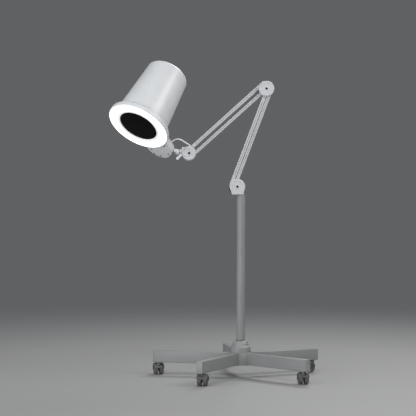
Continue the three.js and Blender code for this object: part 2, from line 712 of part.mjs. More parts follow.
// The lip and back wall round the glowing ring, in one moulding with the hollow lug and its bolt ear.
function frontHousingBody() {
  const { lip, lipDepth, lipWall, neck, sides } = HEAD;
  const ring = turned(
    [
      [lip - lipWall, 0],
      [lip - 1, 0],
      [lip, 1.5],
      [lip, lipDepth - 2.5],
      [lip - 3, lipDepth],
      [neck + 1.5, lipDepth + 2],
      [neck - HEAD.wall, lipDepth + 2],
      [neck - HEAD.wall, lipDepth - 1],
      [lip - lipWall, lipDepth - 3],
    ],
    sides,
  );
  const lug = prism(lugOutline(0), LUG.front, LUG.back, 10)
    .subtract(drum(lip - 1.5, 0, lipDepth))
    .subtract(drum(neck + 0.8, lipDepth - 1, LUG.back + 5));
  const hollow = prism(lugOutline(LUG.wall), LUG.front + LUG.wall, LUG.back + 5, 10)
    .subtract(drum(lip + 2.5, 0, LUG.back + 10));
  const { x, y, z } = HEAD.lugBolt;
  const earRoot = new THREE.Vector2(...LUG.earRoot);
  const earShape = stadium(earRoot, new THREE.Vector2(x, y), LUG.earRadius - 0.5);
  const ear = prism(earShape, z - LUG.earHalf, z + LUG.earHalf);
  const boltHole = rod([x, y, 0], [x, y, 60], SWING.hole);
  const yokeRoom = rod([x, y, z + LUG.earHalf], [x, y, 60], LUG.earRadius + 1);
  const yokeRoomFront = rod([x, y, 0], [x, y, z - LUG.earHalf], LUG.earRadius + 1);
  return ring
    .add(lug.subtract(hollow))
    .subtract(yokeRoom)
    .subtract(yokeRoomFront)
    .add(ear)
    .subtract(boltHole);
}

function lugCoverBody() {
  const plate = prism(lugOutline(0), LUG.back + GAP, LUG.back + GAP + LUG.cover, 10);
  const { x, y } = HEAD.lugBolt;
  return plate
    .subtract(drum(HEAD.neck + 1, 0, 60))
    .subtract(rod([x, y, 0], [x, y, 60], LUG.earRadius + 1))
    .subtract(rod([BUTTON.x, BUTTON.y, 0], [BUTTON.x, BUTTON.y, 60], BUTTON.radius + 0.5, 24));
}

// The tapered rear shell, closed and rounded at its far end and open towards the ring.
function lampShellBody() {
  const { neck, rear, length, rearRound, wall, lipDepth, sides } = HEAD;
  const front = lipDepth + 2 + GAP;
  const inner = rearRound - wall;
  const profile = [[0, length]];
  const shoulder = 4;
  for (let k = 0; k <= shoulder; k += 1) {
    const angle = (Math.PI / 2) * (1 - k / shoulder);
    const r = rear - rearRound + rearRound * Math.cos(angle);
    profile.push([r, length - rearRound + rearRound * Math.sin(angle)]);
  }
  profile.push([neck, front], [neck - wall, front]);
  for (let k = 0; k <= shoulder; k += 1) {
    const angle = (Math.PI / 2) * (k / shoulder);
    const r = rear - rearRound + inner * Math.cos(angle);
    profile.push([r, length - rearRound + inner * Math.sin(angle)]);
  }
  profile.push([0, length - wall]);
  return turned(profile.reverse(), sides, false);
}

const RIM = { inside: 79.8, outside: 88 };

function bezelBody() {
  const { inside, outside } = RIM;
  const front = [[inside, 1.5], [inside + 1.5, 0.4], [outside - 1, 0.4], [outside, 1.4]];
  return turned([...front, [outside, 8], [inside, 8]], HEAD.sides);
}

function diffuserBody() {
  return annulus(RIM.outside + GAP, HEAD.lip - HEAD.lipWall - GAP, 0.9, 4, HEAD.sides);
}

// The plate behind the LED board, with a ring of cooling fins that stand back from it.
function heatSinkBody() {
  const { inside, outside, front, back, sides, fins, finTip } = HEAT_SINK;
  let body = annulus(inside, outside, front, back, sides);
  for (let k = 0; k < fins; k += 1) {
    const fin = block(inside + 1, HEAD.neck - 9, -1.2, 1.2, back - 1, finTip);
    body = body.add(fin.rotate([0, 0, (360 / fins) * k]));
  }
  return body;
}

function glandBody() {
  const { x, y, radius, height } = GLAND;
  const foot = LUG.back + GAP + LUG.cover + GAP;
  return rod([x, y, foot], [x, y, foot + 3], radius + 1.5, 6)
    .add(rod([x, y, foot + 2], [x, y, foot + height], radius, 12, radius - 1.6));
}

function powerButtonBody() {
  const { x, y, radius, proud } = BUTTON;
  const face = LUG.back + GAP + LUG.cover;
  return rod([x, y, face - 6], [x, y, face + proud - 1], radius, 20)
    .add(rod([x, y, face + proud - 1], [x, y, face + proud], radius, 20, radius - 1))
    .add(rod([x, y, face - 8], [x, y, face - 5], radius + 1.5, 20));
}

function lensBarrelBody() {
  const { inside, outside, front, back, sides } = LENS_BARREL;
  return annulus(inside, outside, front, back, sides);
}

function lampModuleBody() {
  const { radius, front, back, nose, noseFront, sides } = LAMP_MODULE;
  const can = rod([0, 0, front], [0, 0, back], radius, sides);
  return can.add(rod([0, 0, noseFront], [0, 0, front + 1], nose, sides));
}

// A potted block on a wider mounting plate.
function driverUnitBody() {
  const plate = block(-52, 52, -34, 34, 144, 148.5);
  return plate.add(block(-45, 45, -30, 30, 148, 172));
}

piece("lamp_shell", lampShellBody(), whitePaint(), head);
piece("front_housing", frontHousingBody(), whitePaint(), head);
piece("lug_cover", lugCoverBody(), whitePaint(), head);
piece("cable_gland", glandBody(), whiteCable(), head);
piece("power_button", powerButtonBody(), blackPlastic(), head);
piece("diffuser_ring", diffuserBody(), glowWhite(), head);
const { inside: boardInside, outside: boardOutside, front: boardFront, back: boardBack } = BOARD;
const boardBody = annulus(boardInside, boardOutside, boardFront, boardBack, BOARD.sides);
piece("led_board", boardBody, boardGreen(), head);
piece("heat_sink", heatSinkBody(), aluminium(), head);
piece("bezel", bezelBody(), rimGrey(), head);
const windowBody = rod([0, 0, WINDOW.front], [0, 0, WINDOW.back], WINDOW.radius, HEAD.sides);
piece("window", windowBody, darkGlass(), head);
piece("lens_barrel", lensBarrelBody(), blackPlastic(), head);
piece("lamp_module", lampModuleBody(), steel(), head);
piece("driver_unit", driverUnitBody(), boardGreen(), head);

// ---------------------------------------------------------------- lead

// The short lead leaves the gland on the lug's back, arches over the joint and enters the head knuckle.
const glandTop = LUG.back + 2 * GAP + LUG.cover + GLAND.height + GAP;
const entry = new THREE.Vector3(...WIRE_ENTRY.to);
const entryAlong = entry.clone().sub(new THREE.Vector3(...WIRE_ENTRY.from)).normalize();
const wirePath = new THREE.CatmullRomCurve3([
  fromHeadFrame(GLAND.x, GLAND.y, glandTop),
  fromHeadFrame(GLAND.x, GLAND.y, glandTop + 5),
  new THREE.Vector3(-275, 11, 940.5),
  new THREE.Vector3(-265, 12, 946.5),
  new THREE.Vector3(-253, 13, 948.8),
  new THREE.Vector3(-241, 14, 945.8),
  new THREE.Vector3(-229, 15, 938.6),
  new THREE.Vector3(-217.5, 16, 931.4),
  entry.clone().addScaledVector(entryAlong, 5),
  entry.clone().addScaledVector(entryAlong, GAP),
]);
const wireShape = polygon(WIRE.radius, WIRE.sides);
const wireExtrude = { extrudePath: wirePath, steps: WIRE.steps, bevelEnabled: false };
piece("lead_wire", solid(new THREE.ExtrudeGeometry(wireShape, wireExtrude)), whiteCable());

export default lamp;
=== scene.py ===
"""Surgical light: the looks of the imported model.

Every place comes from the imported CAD: its nodes' boxes and its joints' pivots. Profiles and outlines
are in millimetres, in the frame of their piece, and are placed by a matrix in metres.
"""

import json
import math
from types import SimpleNamespace as Sizes

import bmesh
import bpy
from mathutils import Matrix, Vector


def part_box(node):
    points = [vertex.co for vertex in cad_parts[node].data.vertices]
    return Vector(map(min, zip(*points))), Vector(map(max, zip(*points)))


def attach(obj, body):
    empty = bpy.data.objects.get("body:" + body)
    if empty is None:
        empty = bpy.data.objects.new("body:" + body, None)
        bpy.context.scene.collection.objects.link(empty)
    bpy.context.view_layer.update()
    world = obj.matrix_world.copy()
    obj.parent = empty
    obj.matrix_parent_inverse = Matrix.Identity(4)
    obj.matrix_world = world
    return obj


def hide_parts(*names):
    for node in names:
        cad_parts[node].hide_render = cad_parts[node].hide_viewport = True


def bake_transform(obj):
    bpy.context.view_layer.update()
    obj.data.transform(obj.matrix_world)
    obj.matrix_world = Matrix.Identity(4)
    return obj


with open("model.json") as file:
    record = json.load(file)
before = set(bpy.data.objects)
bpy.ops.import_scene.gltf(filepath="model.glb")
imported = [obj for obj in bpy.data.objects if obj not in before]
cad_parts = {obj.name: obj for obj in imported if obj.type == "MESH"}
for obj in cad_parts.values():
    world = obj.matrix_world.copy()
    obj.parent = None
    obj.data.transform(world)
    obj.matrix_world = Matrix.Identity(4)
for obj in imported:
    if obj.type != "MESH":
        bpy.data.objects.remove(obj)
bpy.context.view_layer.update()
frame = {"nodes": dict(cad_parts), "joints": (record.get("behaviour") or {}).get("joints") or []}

MM = 0.001
ALONG_X = Vector((1, 0, 0))
ALONG_Y = Vector((0, 1, 0))
UP = Vector((0, 0, 1))

nodes = frame["nodes"]
joints = {j["name"]: j for j in frame["joints"]}


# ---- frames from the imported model


def middle(node):
    low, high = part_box(node)
    return (low + high) / 2


def pivot(joint):
    return Vector(joints[joint]["pos_m"])


def axis(joint):
    return Vector(joints[joint]["axis"]).normalized()


def axes(origin, x, z):
    """A frame at origin with its Z along z, and its X as near to x as that allows."""
    z = z.normalized()
    y = z.cross(x).normalized()
    turn = Matrix((y.cross(z), y, z)).transposed().to_4x4()
    return Matrix.Translation(origin) @ turn


def shifted(at, x=0.0, y=0.0, z=0.0):
    """The frame at, moved by millimetres along its own axes."""
    return at @ Matrix.Translation(Vector((x, y, z)) * MM)


pole_foot = middle("pole")
pole_foot.z = 0.0
POLE = Matrix.Translation(pole_foot)

# The head's own frame: Z runs back from the glowing face, X points at the swing bolt in the lug.
DIFFUSER_MIDDLE = 2.45  # mm behind the ring's face
head_back = axis("head_swing")
head_face = middle("diffuser_ring") - head_back * DIFFUSER_MIDDLE * MM
HEAD = axes(head_face, pivot("head_swing") - head_face, head_back)
BOLT = HEAD.inverted() @ pivot("head_swing") / MM


def facing(node):
    """Two frames on a knuckle's axis in the arm plane, Y up: Z to the front, and Z to the rear."""
    at = middle(node)
    at.y = pole_foot.y
    return axes(at, ALONG_X, -ALONG_Y), axes(at, -ALONG_X, ALONG_Y)


def leg_frame(i):
    """Legs run along X from the pole's axis, with Z up."""
    out = pivot(f"castor_{i}_swivel") - pole_foot
    out.z = 0.0
    return axes(pole_foot, out, UP)


def castor_frame(i):
    """The stem is on Z and the wheels trail towards -X; the axle runs along Y."""
    stem = pivot(f"castor_{i}_swivel")
    ahead = stem - pivot(f"castor_{i}_roll")
    stem.z = ahead.z = 0.0
    return axes(stem, ahead, UP)


# ---- mesh tools, in millimetres

ROUND_END_STEPS = 16
EDGE_ANGLE = 32  # degrees: a sharper fold than this is an edge to round
PIECE_CREASE = 38  # degrees: a sharper fold than this is shaded as a crease
CARRIED_CREASE = 32
FLAT_ANGLE = 0.6  # degrees: flatter neighbours of a carried node become one face
WELD_GAP = 2e-6
CLEAN_GAP = 1e-4  # mm, for what a boolean leaves behind


def rounded(points, closed=True, steps=5):
    """Points (x, y) or (x, y, radius): a corner with a radius becomes an arc."""
    out = []
    last = len(points) - 1
    for i, point in enumerate(points):
        here = Vector(point[:2])
        if len(point) < 3 or (not closed and i in (0, last)):
            out.append(here)
            continue
        radius = point[2]
        before = (Vector(points[i - 1][:2]) - here).normalized()
        after = (Vector(points[0 if i == last else i + 1][:2]) - here).normalized()
        half = before.angle(after) / 2
        centre = here + (before + after).normalized() * (radius / math.sin(half))
        start = here + before * (radius / math.tan(half)) - centre
        finish = here + after * (radius / math.tan(half)) - centre
        sweep = math.atan2(start.cross(finish), start.dot(finish))
        for k in range(steps + 1):
            out.append(centre + Matrix.Rotation(sweep * k / steps, 2) @ start)
    return out


def arc(centre, radius, start, finish, steps):
    """Points on an arc; the angles are in degrees."""
    angles = [math.radians(start + (finish - start) * k / steps) for k in range(steps + 1)]
    return [(centre[0] + radius * math.cos(a), centre[1] + radius * math.sin(a)) for a in angles]


def circle(x, y, radius, sides=32):
    return arc((x, y), radius, 0, 360 * (sides - 1) / sides, sides - 1)


def curve(points, steps):
    """Points on the Bezier curve with these control points, its first point left out."""
    out = []
    last = len(points) - 1
    for k in range(1, steps + 1):
        t = k / steps
        weights = [math.comb(last, i) * (1 - t) ** (last - i) * t**i for i in range(last + 1)]
        out.append(tuple(sum(w * p[n] for w, p in zip(weights, points)) for n in (0, 1)))
    return out


def stadium(a, b, radius, end_radius=None):
    """Two round ends, at a and b, joined by straight sides."""
    turn = math.degrees(math.atan2(b[1] - a[1], b[0] - a[0]))
    first = arc(a, radius, turn + 90, turn + 270, ROUND_END_STEPS)
    return first + arc(b, end_radius or radius, turn - 90, turn + 90, ROUND_END_STEPS)


def facing_out(bm):
    bmesh.ops.recalc_face_normals(bm, faces=bm.faces)
    return bm


def quads(bm, a, b):
    """Joins two rings of vertices, which may have shrunk to one point."""
    for k in range(len(a)):
        j = (k + 1) % len(a)
        corners = list(dict.fromkeys((a[k], a[j], b[j], b[k])))
        if len(corners) > 2:
            bm.faces.new(corners)


def lathe(profile, sides=96, closed=True, steps=5):
    """A (radius, height) profile turned about Z: closed, or with both its ends on the axis."""
    bm = bmesh.new()
    rings = []
    for r, z in rounded(profile, closed, steps):
        if r < 1e-6:
            rings.append([bm.verts.new((0, 0, z))] * sides)
            continue
        turns = [2 * math.pi * k / sides for k in range(sides)]
        rings.append([bm.verts.new((r * math.cos(t), r * math.sin(t), z)) for t in turns])
    for a, b in zip(rings, rings[1:]):
        quads(bm, a, b)
    if closed:
        quads(bm, rings[-1], rings[0])
    return facing_out(bm)


def inset(outline, distance):
    """The outline moved inwards, for an outline that runs anticlockwise."""
    out = []
    for i, here in enumerate(outline):
        before = (here - outline[i - 1]).normalized()
        after = (outline[(i + 1) % len(outline)] - here).normalized()
        left = Vector((-before.y - after.y, before.x + after.x)).normalized()
        out.append(here + left * (distance / max(0.5, left.dot(Vector((-before.y, before.x))))))
    return out


def slab(outline, low, high, edge=0.0, holes=(), steps=4):
    """An anticlockwise outline made solid from low to high, with its rims rounded by edge."""
    bm = bmesh.new()
    levels = [(0.0, low), (0.0, high)]
    if edge:
        turns = [math.pi / 2 * k / steps for k in range(steps + 1)]
        start = [(edge * (1 - math.sin(t)), low + edge * (1 - math.cos(t))) for t in turns]
        levels = start + [(d, low + high - z) for d, z in reversed(start)]
    caps = ([], [])
    for points, side in [(outline, 1)] + [(hole, -1) for hole in holes]:
        flat = [Vector(p[:2]) for p in points]
        rings = []
        for d, z in levels:
            ring = inset(flat, d * side) if d else flat
            rings.append([bm.verts.new((p.x, p.y, z)) for p in ring])
        for a, b in zip(rings, rings[1:]):
            quads(bm, a, b)
        for cap, ring in zip(caps, (rings[0], rings[-1])):
            for k, v in enumerate(ring):
                cap.append(bm.edges.get((v, ring[k - 1])))
    for cap in caps:
        bmesh.ops.triangle_fill(bm, edges=cap, use_beauty=True)
    return facing_out(bm)


def box(x0, x1, y0, y1, z0, z1, edge=0.0):
    return slab([(x0, y0), (x1, y0), (x1, y1), (x0, y1)], z0, z1, edge, steps=3)


def drum(x, y, radius, z0, z1, edge=0.0, sides=48):
    return slab(circle(x, y, radius, sides), z0, z1, edge)


def tube(path, radius, sides=16, closed=False, swell=None):
    """A round section along a path; swell(k) scales the radius at the k-th point."""
    bm = bmesh.new()
    points = [Vector(p) for p in path]
    count = len(points)
    rings = []
    normal = None
    for k, here in enumerate(points):
        ahead = points[(k + 1) % count] if closed or k + 1 < count else here
        behind = points[k - 1] if closed or k else here
        along = (ahead - behind).normalized()
        if normal is None:
            normal = along.orthogonal().normalized()
        normal = (normal - along * normal.dot(along)).normalized()
        side = along.cross(normal)
        r = radius * (swell(k) if swell else 1.0)
        turns = [2 * math.pi * j / sides for j in range(sides)]
        spokes = [normal * math.cos(t) + side * math.sin(t) for t in turns]
        rings.append([bm.verts.new(here + spoke * r) for spoke in spokes])
    for a, b in zip(rings, rings[1:]):
        quads(bm, a, b)
    if closed:
        quads(bm, rings[-1], rings[0])
    else:
        bm.faces.new(rings[0])
        bm.faces.new(rings[-1])
    return facing_out(bm)


def turned(bm, matrix):
    bmesh.ops.transform(bm, matrix=matrix, verts=bm.verts)
    return facing_out(bm)


def moved(bm, x, y, z):
    return turned(bm, Matrix.Translation((x, y, z)))


def as_mesh(name, bm):
    mesh = bpy.data.meshes.new(name)
    bm.to_mesh(mesh)
    bm.free()
    return mesh


def linked(name, data):
    """A new object of the scene, for a mesh, a camera or a light."""
    obj = bpy.data.objects.new(name, data)
    bpy.context.scene.collection.objects.link(obj)
    return obj


def merged(*parts):
    """Several separate solids as one mesh."""
    out = bmesh.new()
    for bm in parts:
        mesh = as_mesh("work", bm)
        out.from_mesh(mesh)
        bpy.data.meshes.remove(mesh)
    return out


def boolean(operation, base, tools):
    """Joins or cuts solids, with an object for each while the modifiers work."""
    objects = [linked("work", as_mesh("work", bm)) for bm in (base, *tools)]
    for tool in objects[1:]:
        step = objects[0].modifiers.new("step", "BOOLEAN")
        step.operation = operation
        step.solver = "EXACT"
        step.object = tool
    graph = bpy.context.evaluated_depsgraph_get()
    mesh = bpy.data.meshes.new_from_object(objects[0].evaluated_get(graph))
    out = bmesh.new()
    out.from_mesh(mesh)
    bpy.data.meshes.remove(mesh)
    for obj in objects:
        work = obj.data
        bpy.data.objects.remove(obj)
        bpy.data.meshes.remove(work)
    bmesh.ops.remove_doubles(out, verts=out.verts, dist=CLEAN_GAP)
    bmesh.ops.dissolve_degenerate(out, edges=out.edges, dist=CLEAN_GAP)
    return out


def cut(base, *tools):
    return boolean("DIFFERENCE", base, tools)


def joined(base, *tools):
    return boolean("UNION", base, tools)


def smooth(mesh, degrees):
    mesh.polygons.foreach_set("use_smooth", [True] * len(mesh.polygons))
    mesh.set_sharp_from_angle(angle=math.radians(degrees))


def soften(obj, width):
    """Rounds an object's sharp edges by width, in millimetres."""
    edge = obj.modifiers.new("edges", "BEVEL")
    edge.width = width * MM
    edge.segments = 3
    edge.limit_method = "ANGLE"
    edge.angle_limit = math.radians(EDGE_ANGLE)
    edge.harden_normals = True
    edge.use_clamp_overlap = True


def piece(name, bm, at, body, finish, replaces=(), slot=None, edge=0.0, ride=True):
    """A mesh in millimetres becomes a piece, placed by the frame at. Its slot is not used."""
    mesh = as_mesh(name, bm)
    mesh.transform(at @ Matrix.Scale(MM, 4))
    smooth(mesh, PIECE_CREASE)
    mesh.materials.append(look[finish])
    obj = linked(name, mesh)
    if edge:
        soften(obj, edge)
    if replaces:
        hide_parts(*replaces)
    slot = slot or finish
    if ride:
        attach(obj, body)
    return obj


def carried(node, finish, edge=0.0):
    """A CAD node that stays: flat faces are joined up, its edges rounded, its finish put on."""
    obj = nodes[node]
    obj.data.materials.clear()
    obj.data.materials.append(look[finish])
    weld = obj.modifiers.new("weld", "WELD")
    weld.merge_threshold = WELD_GAP
    flat = obj.modifiers.new("flat", "DECIMATE")
    flat.decimate_type = "DISSOLVE"
    flat.angle_limit = math.radians(FLAT_ANGLE)
    smooth(obj.data, CARRIED_CREASE)
    if edge:
        soften(obj, edge)


# ---- camera

# Metres from the pole's foot, degrees, and millimetres.
CAMERA = Sizes(left=0.1322, back=5.0, height=0.641, pitch=0.364, roll=-0.2, lens=108.2)


def make_camera():
    data = bpy.data.cameras.new("camera")
    data.lens = CAMERA.lens
    data.sensor_width = 36.0
    camera = linked("camera", data)
    camera.location = pole_foot + Vector((-CAMERA.left, -CAMERA.back, CAMERA.height))
    camera.rotation_euler = (math.radians(90 + CAMERA.pitch), math.radians(CAMERA.roll), 0)
    bpy.context.scene.camera = camera


make_camera()


# ---- materials


look = {}


class Finish:
    """A Principled material with object coordinates, and short calls to add nodes to it."""

    def __init__(self, name, roughness, metallic=0.0, **sockets):
        self.name = name
        self.material = bpy.data.materials.new(name)
        self.material.use_nodes = True
        self.tree = self.material.node_tree
        self.shader = self.tree.nodes["Principled BSDF"]
        self.shader.inputs["Metallic"].default_value = metallic
        self.shader.inputs["Roughness"].default_value = roughness
        for socket, value in sockets.items():
            self.shader.inputs[socket.replace("_", " ")].default_value = value
        self.place = self.add("ShaderNodeTexCoord").outputs["Object"]

    def feed(self, socket, value):
        if isinstance(value, bpy.types.NodeSocket):
            self.tree.links.new(value, socket)
        else:
            socket.default_value = value

    def add(self, kind, sockets=None, **settings):
        """A new node, with its settings and what goes into its sockets, by name or by number."""
        node = self.tree.nodes.new(kind)
        for name, value in settings.items():
            setattr(node, name, value)
        for socket, value in (sockets or {}).items():
            self.feed(node.inputs[socket], value)
        return node

    def stretched(self, scale):
        return self.add("ShaderNodeMapping", {"Vector": self.place, "Scale": scale}).outputs["Vector"]

    def noise(self, scale, detail=3.0, rough=0.55, place=None):
        sockets = {"Vector": place or self.place, "Scale": scale, "Detail": detail, "Roughness": rough}
        return self.add("ShaderNodeTexNoise", sockets).outputs["Fac"]

    def cells(self, scale):
        sockets = {"Vector": self.place, "Scale": scale}
        return self.add("ShaderNodeTexVoronoi", sockets, feature="F1").outputs["Distance"]

    def ranged(self, value, low, high, to_low=0.0, to_high=1.0):
        sockets = dict(enumerate((value, low, high, to_low, to_high)))
        return self.add("ShaderNodeMapRange", sockets).outputs["Result"]

    def sums(self, operation, a, b):
        return self.add("ShaderNodeMath", {0: a, 1: b}, operation=operation).outputs["Value"]

    def mix(self, factor, a, b):
        node = self.add("ShaderNodeMix", {"Factor": factor}, data_type="RGBA")
        colours = [socket for socket in node.inputs if socket.type == "RGBA"]
        self.feed(colours[0], a)
        self.feed(colours[1], b)
        return next(socket for socket in node.outputs if socket.type == "RGBA")

    def over(self, tone, mask, amount, colour):
        """The tone with a colour laid over it, by amount where the mask is 1."""
        return self.mix(self.sums("MULTIPLY", mask, amount), tone, colour)

    def varied(self, mask, colour, low, high):
        """The colour, from low to high times as bright, as the mask runs through its middle range."""
        return self.mix(self.ranged(mask, 0.3, 0.7), shade(colour, low), shade(colour, high))

    def edges(self, radius):
        """About 1 where the surface turns sharply, 0 on the flat."""
        soft = self.add("ShaderNodeBevel", {"Radius": radius * MM}, samples=4).outputs["Normal"]
        plain = self.add("ShaderNodeNewGeometry").outputs["Normal"]
        node = self.add("ShaderNodeVectorMath", {0: soft, 1: plain}, operation="DOT_PRODUCT")
        return self.ranged(node.outputs["Value"], 0.995, 0.90)

    def shade_mask(self, reach):
        """About 1 deep in a groove or a corner, 0 in the open: the mask for painted shade."""
        node = self.add("ShaderNodeAmbientOcclusion", {"Distance": reach * MM}, samples=8)
        return self.ranged(node.outputs["AO"], 0.92, 0.35)

    def raised(self, height, distance, strength=1.0, under=None):
        sockets = {"Height": height, "Distance": distance * MM, "Strength": strength}
        if under:
            sockets["Normal"] = under
        return self.add("ShaderNodeBump", sockets).outputs["Normal"]

    def finish(self, colour=None, roughness=None, normal=None):
        for socket, value in (("Base Color", colour), ("Roughness", roughness), ("Normal", normal)):
            if value is not None:
                self.feed(self.shader.inputs[socket], value)
        look[self.name] = self.material


def grey(value, warmth=0.0):
    return (value * (1 + warmth), value, value * (1 - warmth), 1.0)


def shade(colour, factor):
    return tuple(min(1.0, c * factor) for c in colour[:3]) + (1.0,)


def paint(name, colour, roughness, peel, peel_size, wear, painted_shade=0.3, reach=3, dust=0.0, coat=0.0):
    """Sprayed paint: orange peel, clouds of tone, rubbed edges, painted shade in grooves and corners,
    and settled dust.
    """
    f = Finish(name, roughness, Coat_Weight=coat, Coat_Roughness=0.24)
    clouds = f.noise(14, 4)
    specks = f.noise(1400, 2)
    tone = f.varied(clouds, colour, 0.95, 1.03)
    tone = f.mix(f.ranged(specks, 0.62, 0.75, 0, 0.25), tone, shade(colour, 0.82))
    rubbed = f.sums("MULTIPLY", f.edges(1.1), f.ranged(f.noise(90, 5), 0.42, 0.62))
    tone = f.over(tone, rubbed, wear, shade(colour, 0.62))
    # Painted shade: the colour darkened in grooves and corners, as far as reach in millimetres.
    tone = f.over(tone, f.shade_mask(reach), painted_shade, shade(colour, 0.18))
    if dust:
        split = f.add("ShaderNodeSeparateXYZ", {0: f.add("ShaderNodeNewGeometry").outputs["Normal"]})
        upward = f.ranged(split.outputs["Z"], 0.5, 1.0)
        settled = f.sums("MULTIPLY", upward, f.ranged(f.noise(55, 5), 0.4, 0.7))
        tone = f.over(tone, settled, dust, grey(0.46, 0.03))
    sheen = f.sums("ADD", clouds, f.noise(420, 3))
    gloss = f.ranged(sheen, 0.6, 1.4, roughness - 0.06, roughness + 0.08)
    normal = f.raised(f.noise(peel_size, 2), peel)
    f.finish(tone, gloss, f.raised(specks, 0.004, 1.0, normal))


def moulded(name, colour, roughness, dust, grain=900, depth=0.03, scuff=0.0):
    """Moulded plastic: a fine pebble grain, with duller rubbed places and dust."""
    f = Finish(name, roughness)
    clouds = f.noise(30, 4)
    tone = f.varied(clouds, colour, 0.85, 1.15)
    if scuff:
        marks = f.ranged(f.noise(1, 4, 0.7, f.stretched((60, 420, 420))), 0.56, 0.72)
        tone = f.over(tone, marks, scuff, shade(colour, 2.2))
    settled = f.ranged(f.noise(120, 5), 0.45, 0.75)
    tone = f.over(tone, settled, dust, grey(0.35, 0.04))
    rubbed = f.sums("MULTIPLY", f.edges(0.8), f.ranged(f.noise(150, 4), 0.4, 0.65))
    tone = f.over(tone, rubbed, 0.35, shade(colour, 1.7))
    gloss = f.ranged(clouds, 0.3, 0.7, roughness - 0.07, roughness + 0.07)
    f.finish(tone, gloss, f.raised(f.cells(grain), depth))


def metal(name, colour, roughness, stretch=(1, 1, 1), scale=500):
    """Bare or plated metal with fine drawn lines and patches of tarnish."""
    f = Finish(name, roughness, 1.0)
    lines = f.noise(scale, 4, 0.6, f.stretched(stretch))
    patches = f.noise(60, 5)
    tone = f.varied(lines, colour, 0.86, 1.08)
    tone = f.mix(f.ranged(patches, 0.5, 0.75, 0, 0.3), tone, shade(colour, 0.5))
    tone = f.over(tone, f.edges(0.5), 0.5, shade(colour, 1.5))
    gloss = f.ranged(f.sums("ADD", lines, patches), 0.6, 1.4, roughness - 0.08, roughness + 0.14)
    f.finish(tone, gloss, f.raised(lines, 0.01))


def cast(name, colour):
    """Painted casting: pitted skin under the paint."""
    f = Finish(name, 0.5)
    skin = f.noise(210, 6, 0.65)
    pits = f.ranged(f.cells(160), 0.05, 0.35)
    tone = f.mix(f.ranged(skin, 0.35, 0.65), shade(colour, 0.9), shade(colour, 1.03))
    tone = f.over(tone, f.edges(1.4), 0.4, shade(colour, 0.6))
    normal = f.raised(pits, 0.05, 0.6, f.raised(skin, 0.12))
    f.finish(tone, f.ranged(skin, 0.3, 0.7, 0.42, 0.6), normal)


def opal():
    """The lit diffuser: bright all over, a touch brighter over each LED behind it."""
    f = Finish("glow", 0.35, Emission_Strength=GLOW_STRENGTH)
    spots = f.ranged(f.cells(110), 0.0, 0.6, 1.0, 0.0)
    lit = f.mix(spots, (0.94, 0.97, 1.0, 1.0), (1.0, 1.0, 1.0, 1.0))
    f.feed(f.shader.inputs["Emission Color"], lit)
    sheen = f.ranged(f.noise(40, 3), 0.3, 0.7, 0.28, 0.42)
    f.finish(f.mix(spots, grey(0.93), grey(0.97)), sheen, f.raised(f.noise(700, 2), 0.01))


def lit_rim():
    """White plastic with a painted glow for the ring's light that reaches it, and painted shade in its
    grooves, where the glow is dimmer too.
    """
    f = Finish("rim_grey", 0.3, Emission_Strength=RIM_PAINTED_GLOW)
    deep = f.shade_mask(2)
    clouds = f.ranged(f.noise(60, 3), 0.3, 0.7)
    f.feed(f.shader.inputs["Emission Color"], f.mix(deep, grey(1.0), grey(0.25)))
    tone = f.mix(deep, f.mix(clouds, grey(0.78), grey(0.84)), grey(0.3))
    f.finish(tone, f.ranged(clouds, 0, 1, 0.26, 0.36), f.raised(f.noise(500, 2), 0.006))


def dark_glass():
    """Deep tinted window with faint wiping marks in its gloss."""
    f = Finish("window_black", 0.05, Specular_IOR_Level=0.05)
    wiped = f.noise(1, 4, 0.6, f.stretched((45, 190, 120)))
    tone = f.mix(f.ranged(wiped, 0.3, 0.7), grey(0.002), grey(0.004, -0.05))
    gloss = f.ranged(f.sums("ADD", wiped, f.noise(260, 5)), 0.7, 1.4, 0.03, 0.16)
    f.finish(tone, gloss, f.raised(f.noise(9, 2), 0.03))


def circuit():
    """Solder mask over copper tracks."""
    f = Finish("board", 0.38)
    sockets = {"Vector": f.place, "Scale": 90.0, "Mortar Size": 0.03}
    line = f.add("ShaderNodeTexBrick", sockets).outputs["Fac"]
    tone = f.mix(line, (0.03, 0.16, 0.08, 1.0), (0.08, 0.30, 0.16, 1.0))
    tone = f.mix(f.ranged(f.noise(40, 4), 0.4, 0.7, 0, 0.4), tone, (0.02, 0.10, 0.05, 1.0))
    f.finish(tone, f.ranged(line, 0, 1, 0.32, 0.5), f.raised(line, 0.05))


def cable_jacket():
    """White flexible jacket, slightly yellowed and dirty in places."""
    f = Finish("cable_white", 0.42, Coat_Weight=0.15)
    clouds = f.noise(120, 4)
    tone = f.mix(f.ranged(clouds, 0.3, 0.7), grey(0.74, 0.01), grey(0.82))
    tone = f.mix(f.ranged(f.noise(420, 5), 0.58, 0.75, 0, 0.35), tone, grey(0.5, 0.05))
    f.finish(tone, f.ranged(clouds, 0.3, 0.7, 0.36, 0.52), f.raised(f.noise(900, 3), 0.03))


GLOW_STRENGTH = 1.9
# The rim's painted glow: white plastic made to shine as if lit by the ring.
RIM_PAINTED_GLOW = 0.42
WHITE = (0.74, 0.755, 0.77, 1.0)
STAND = (0.275, 0.281, 0.281, 1.0)
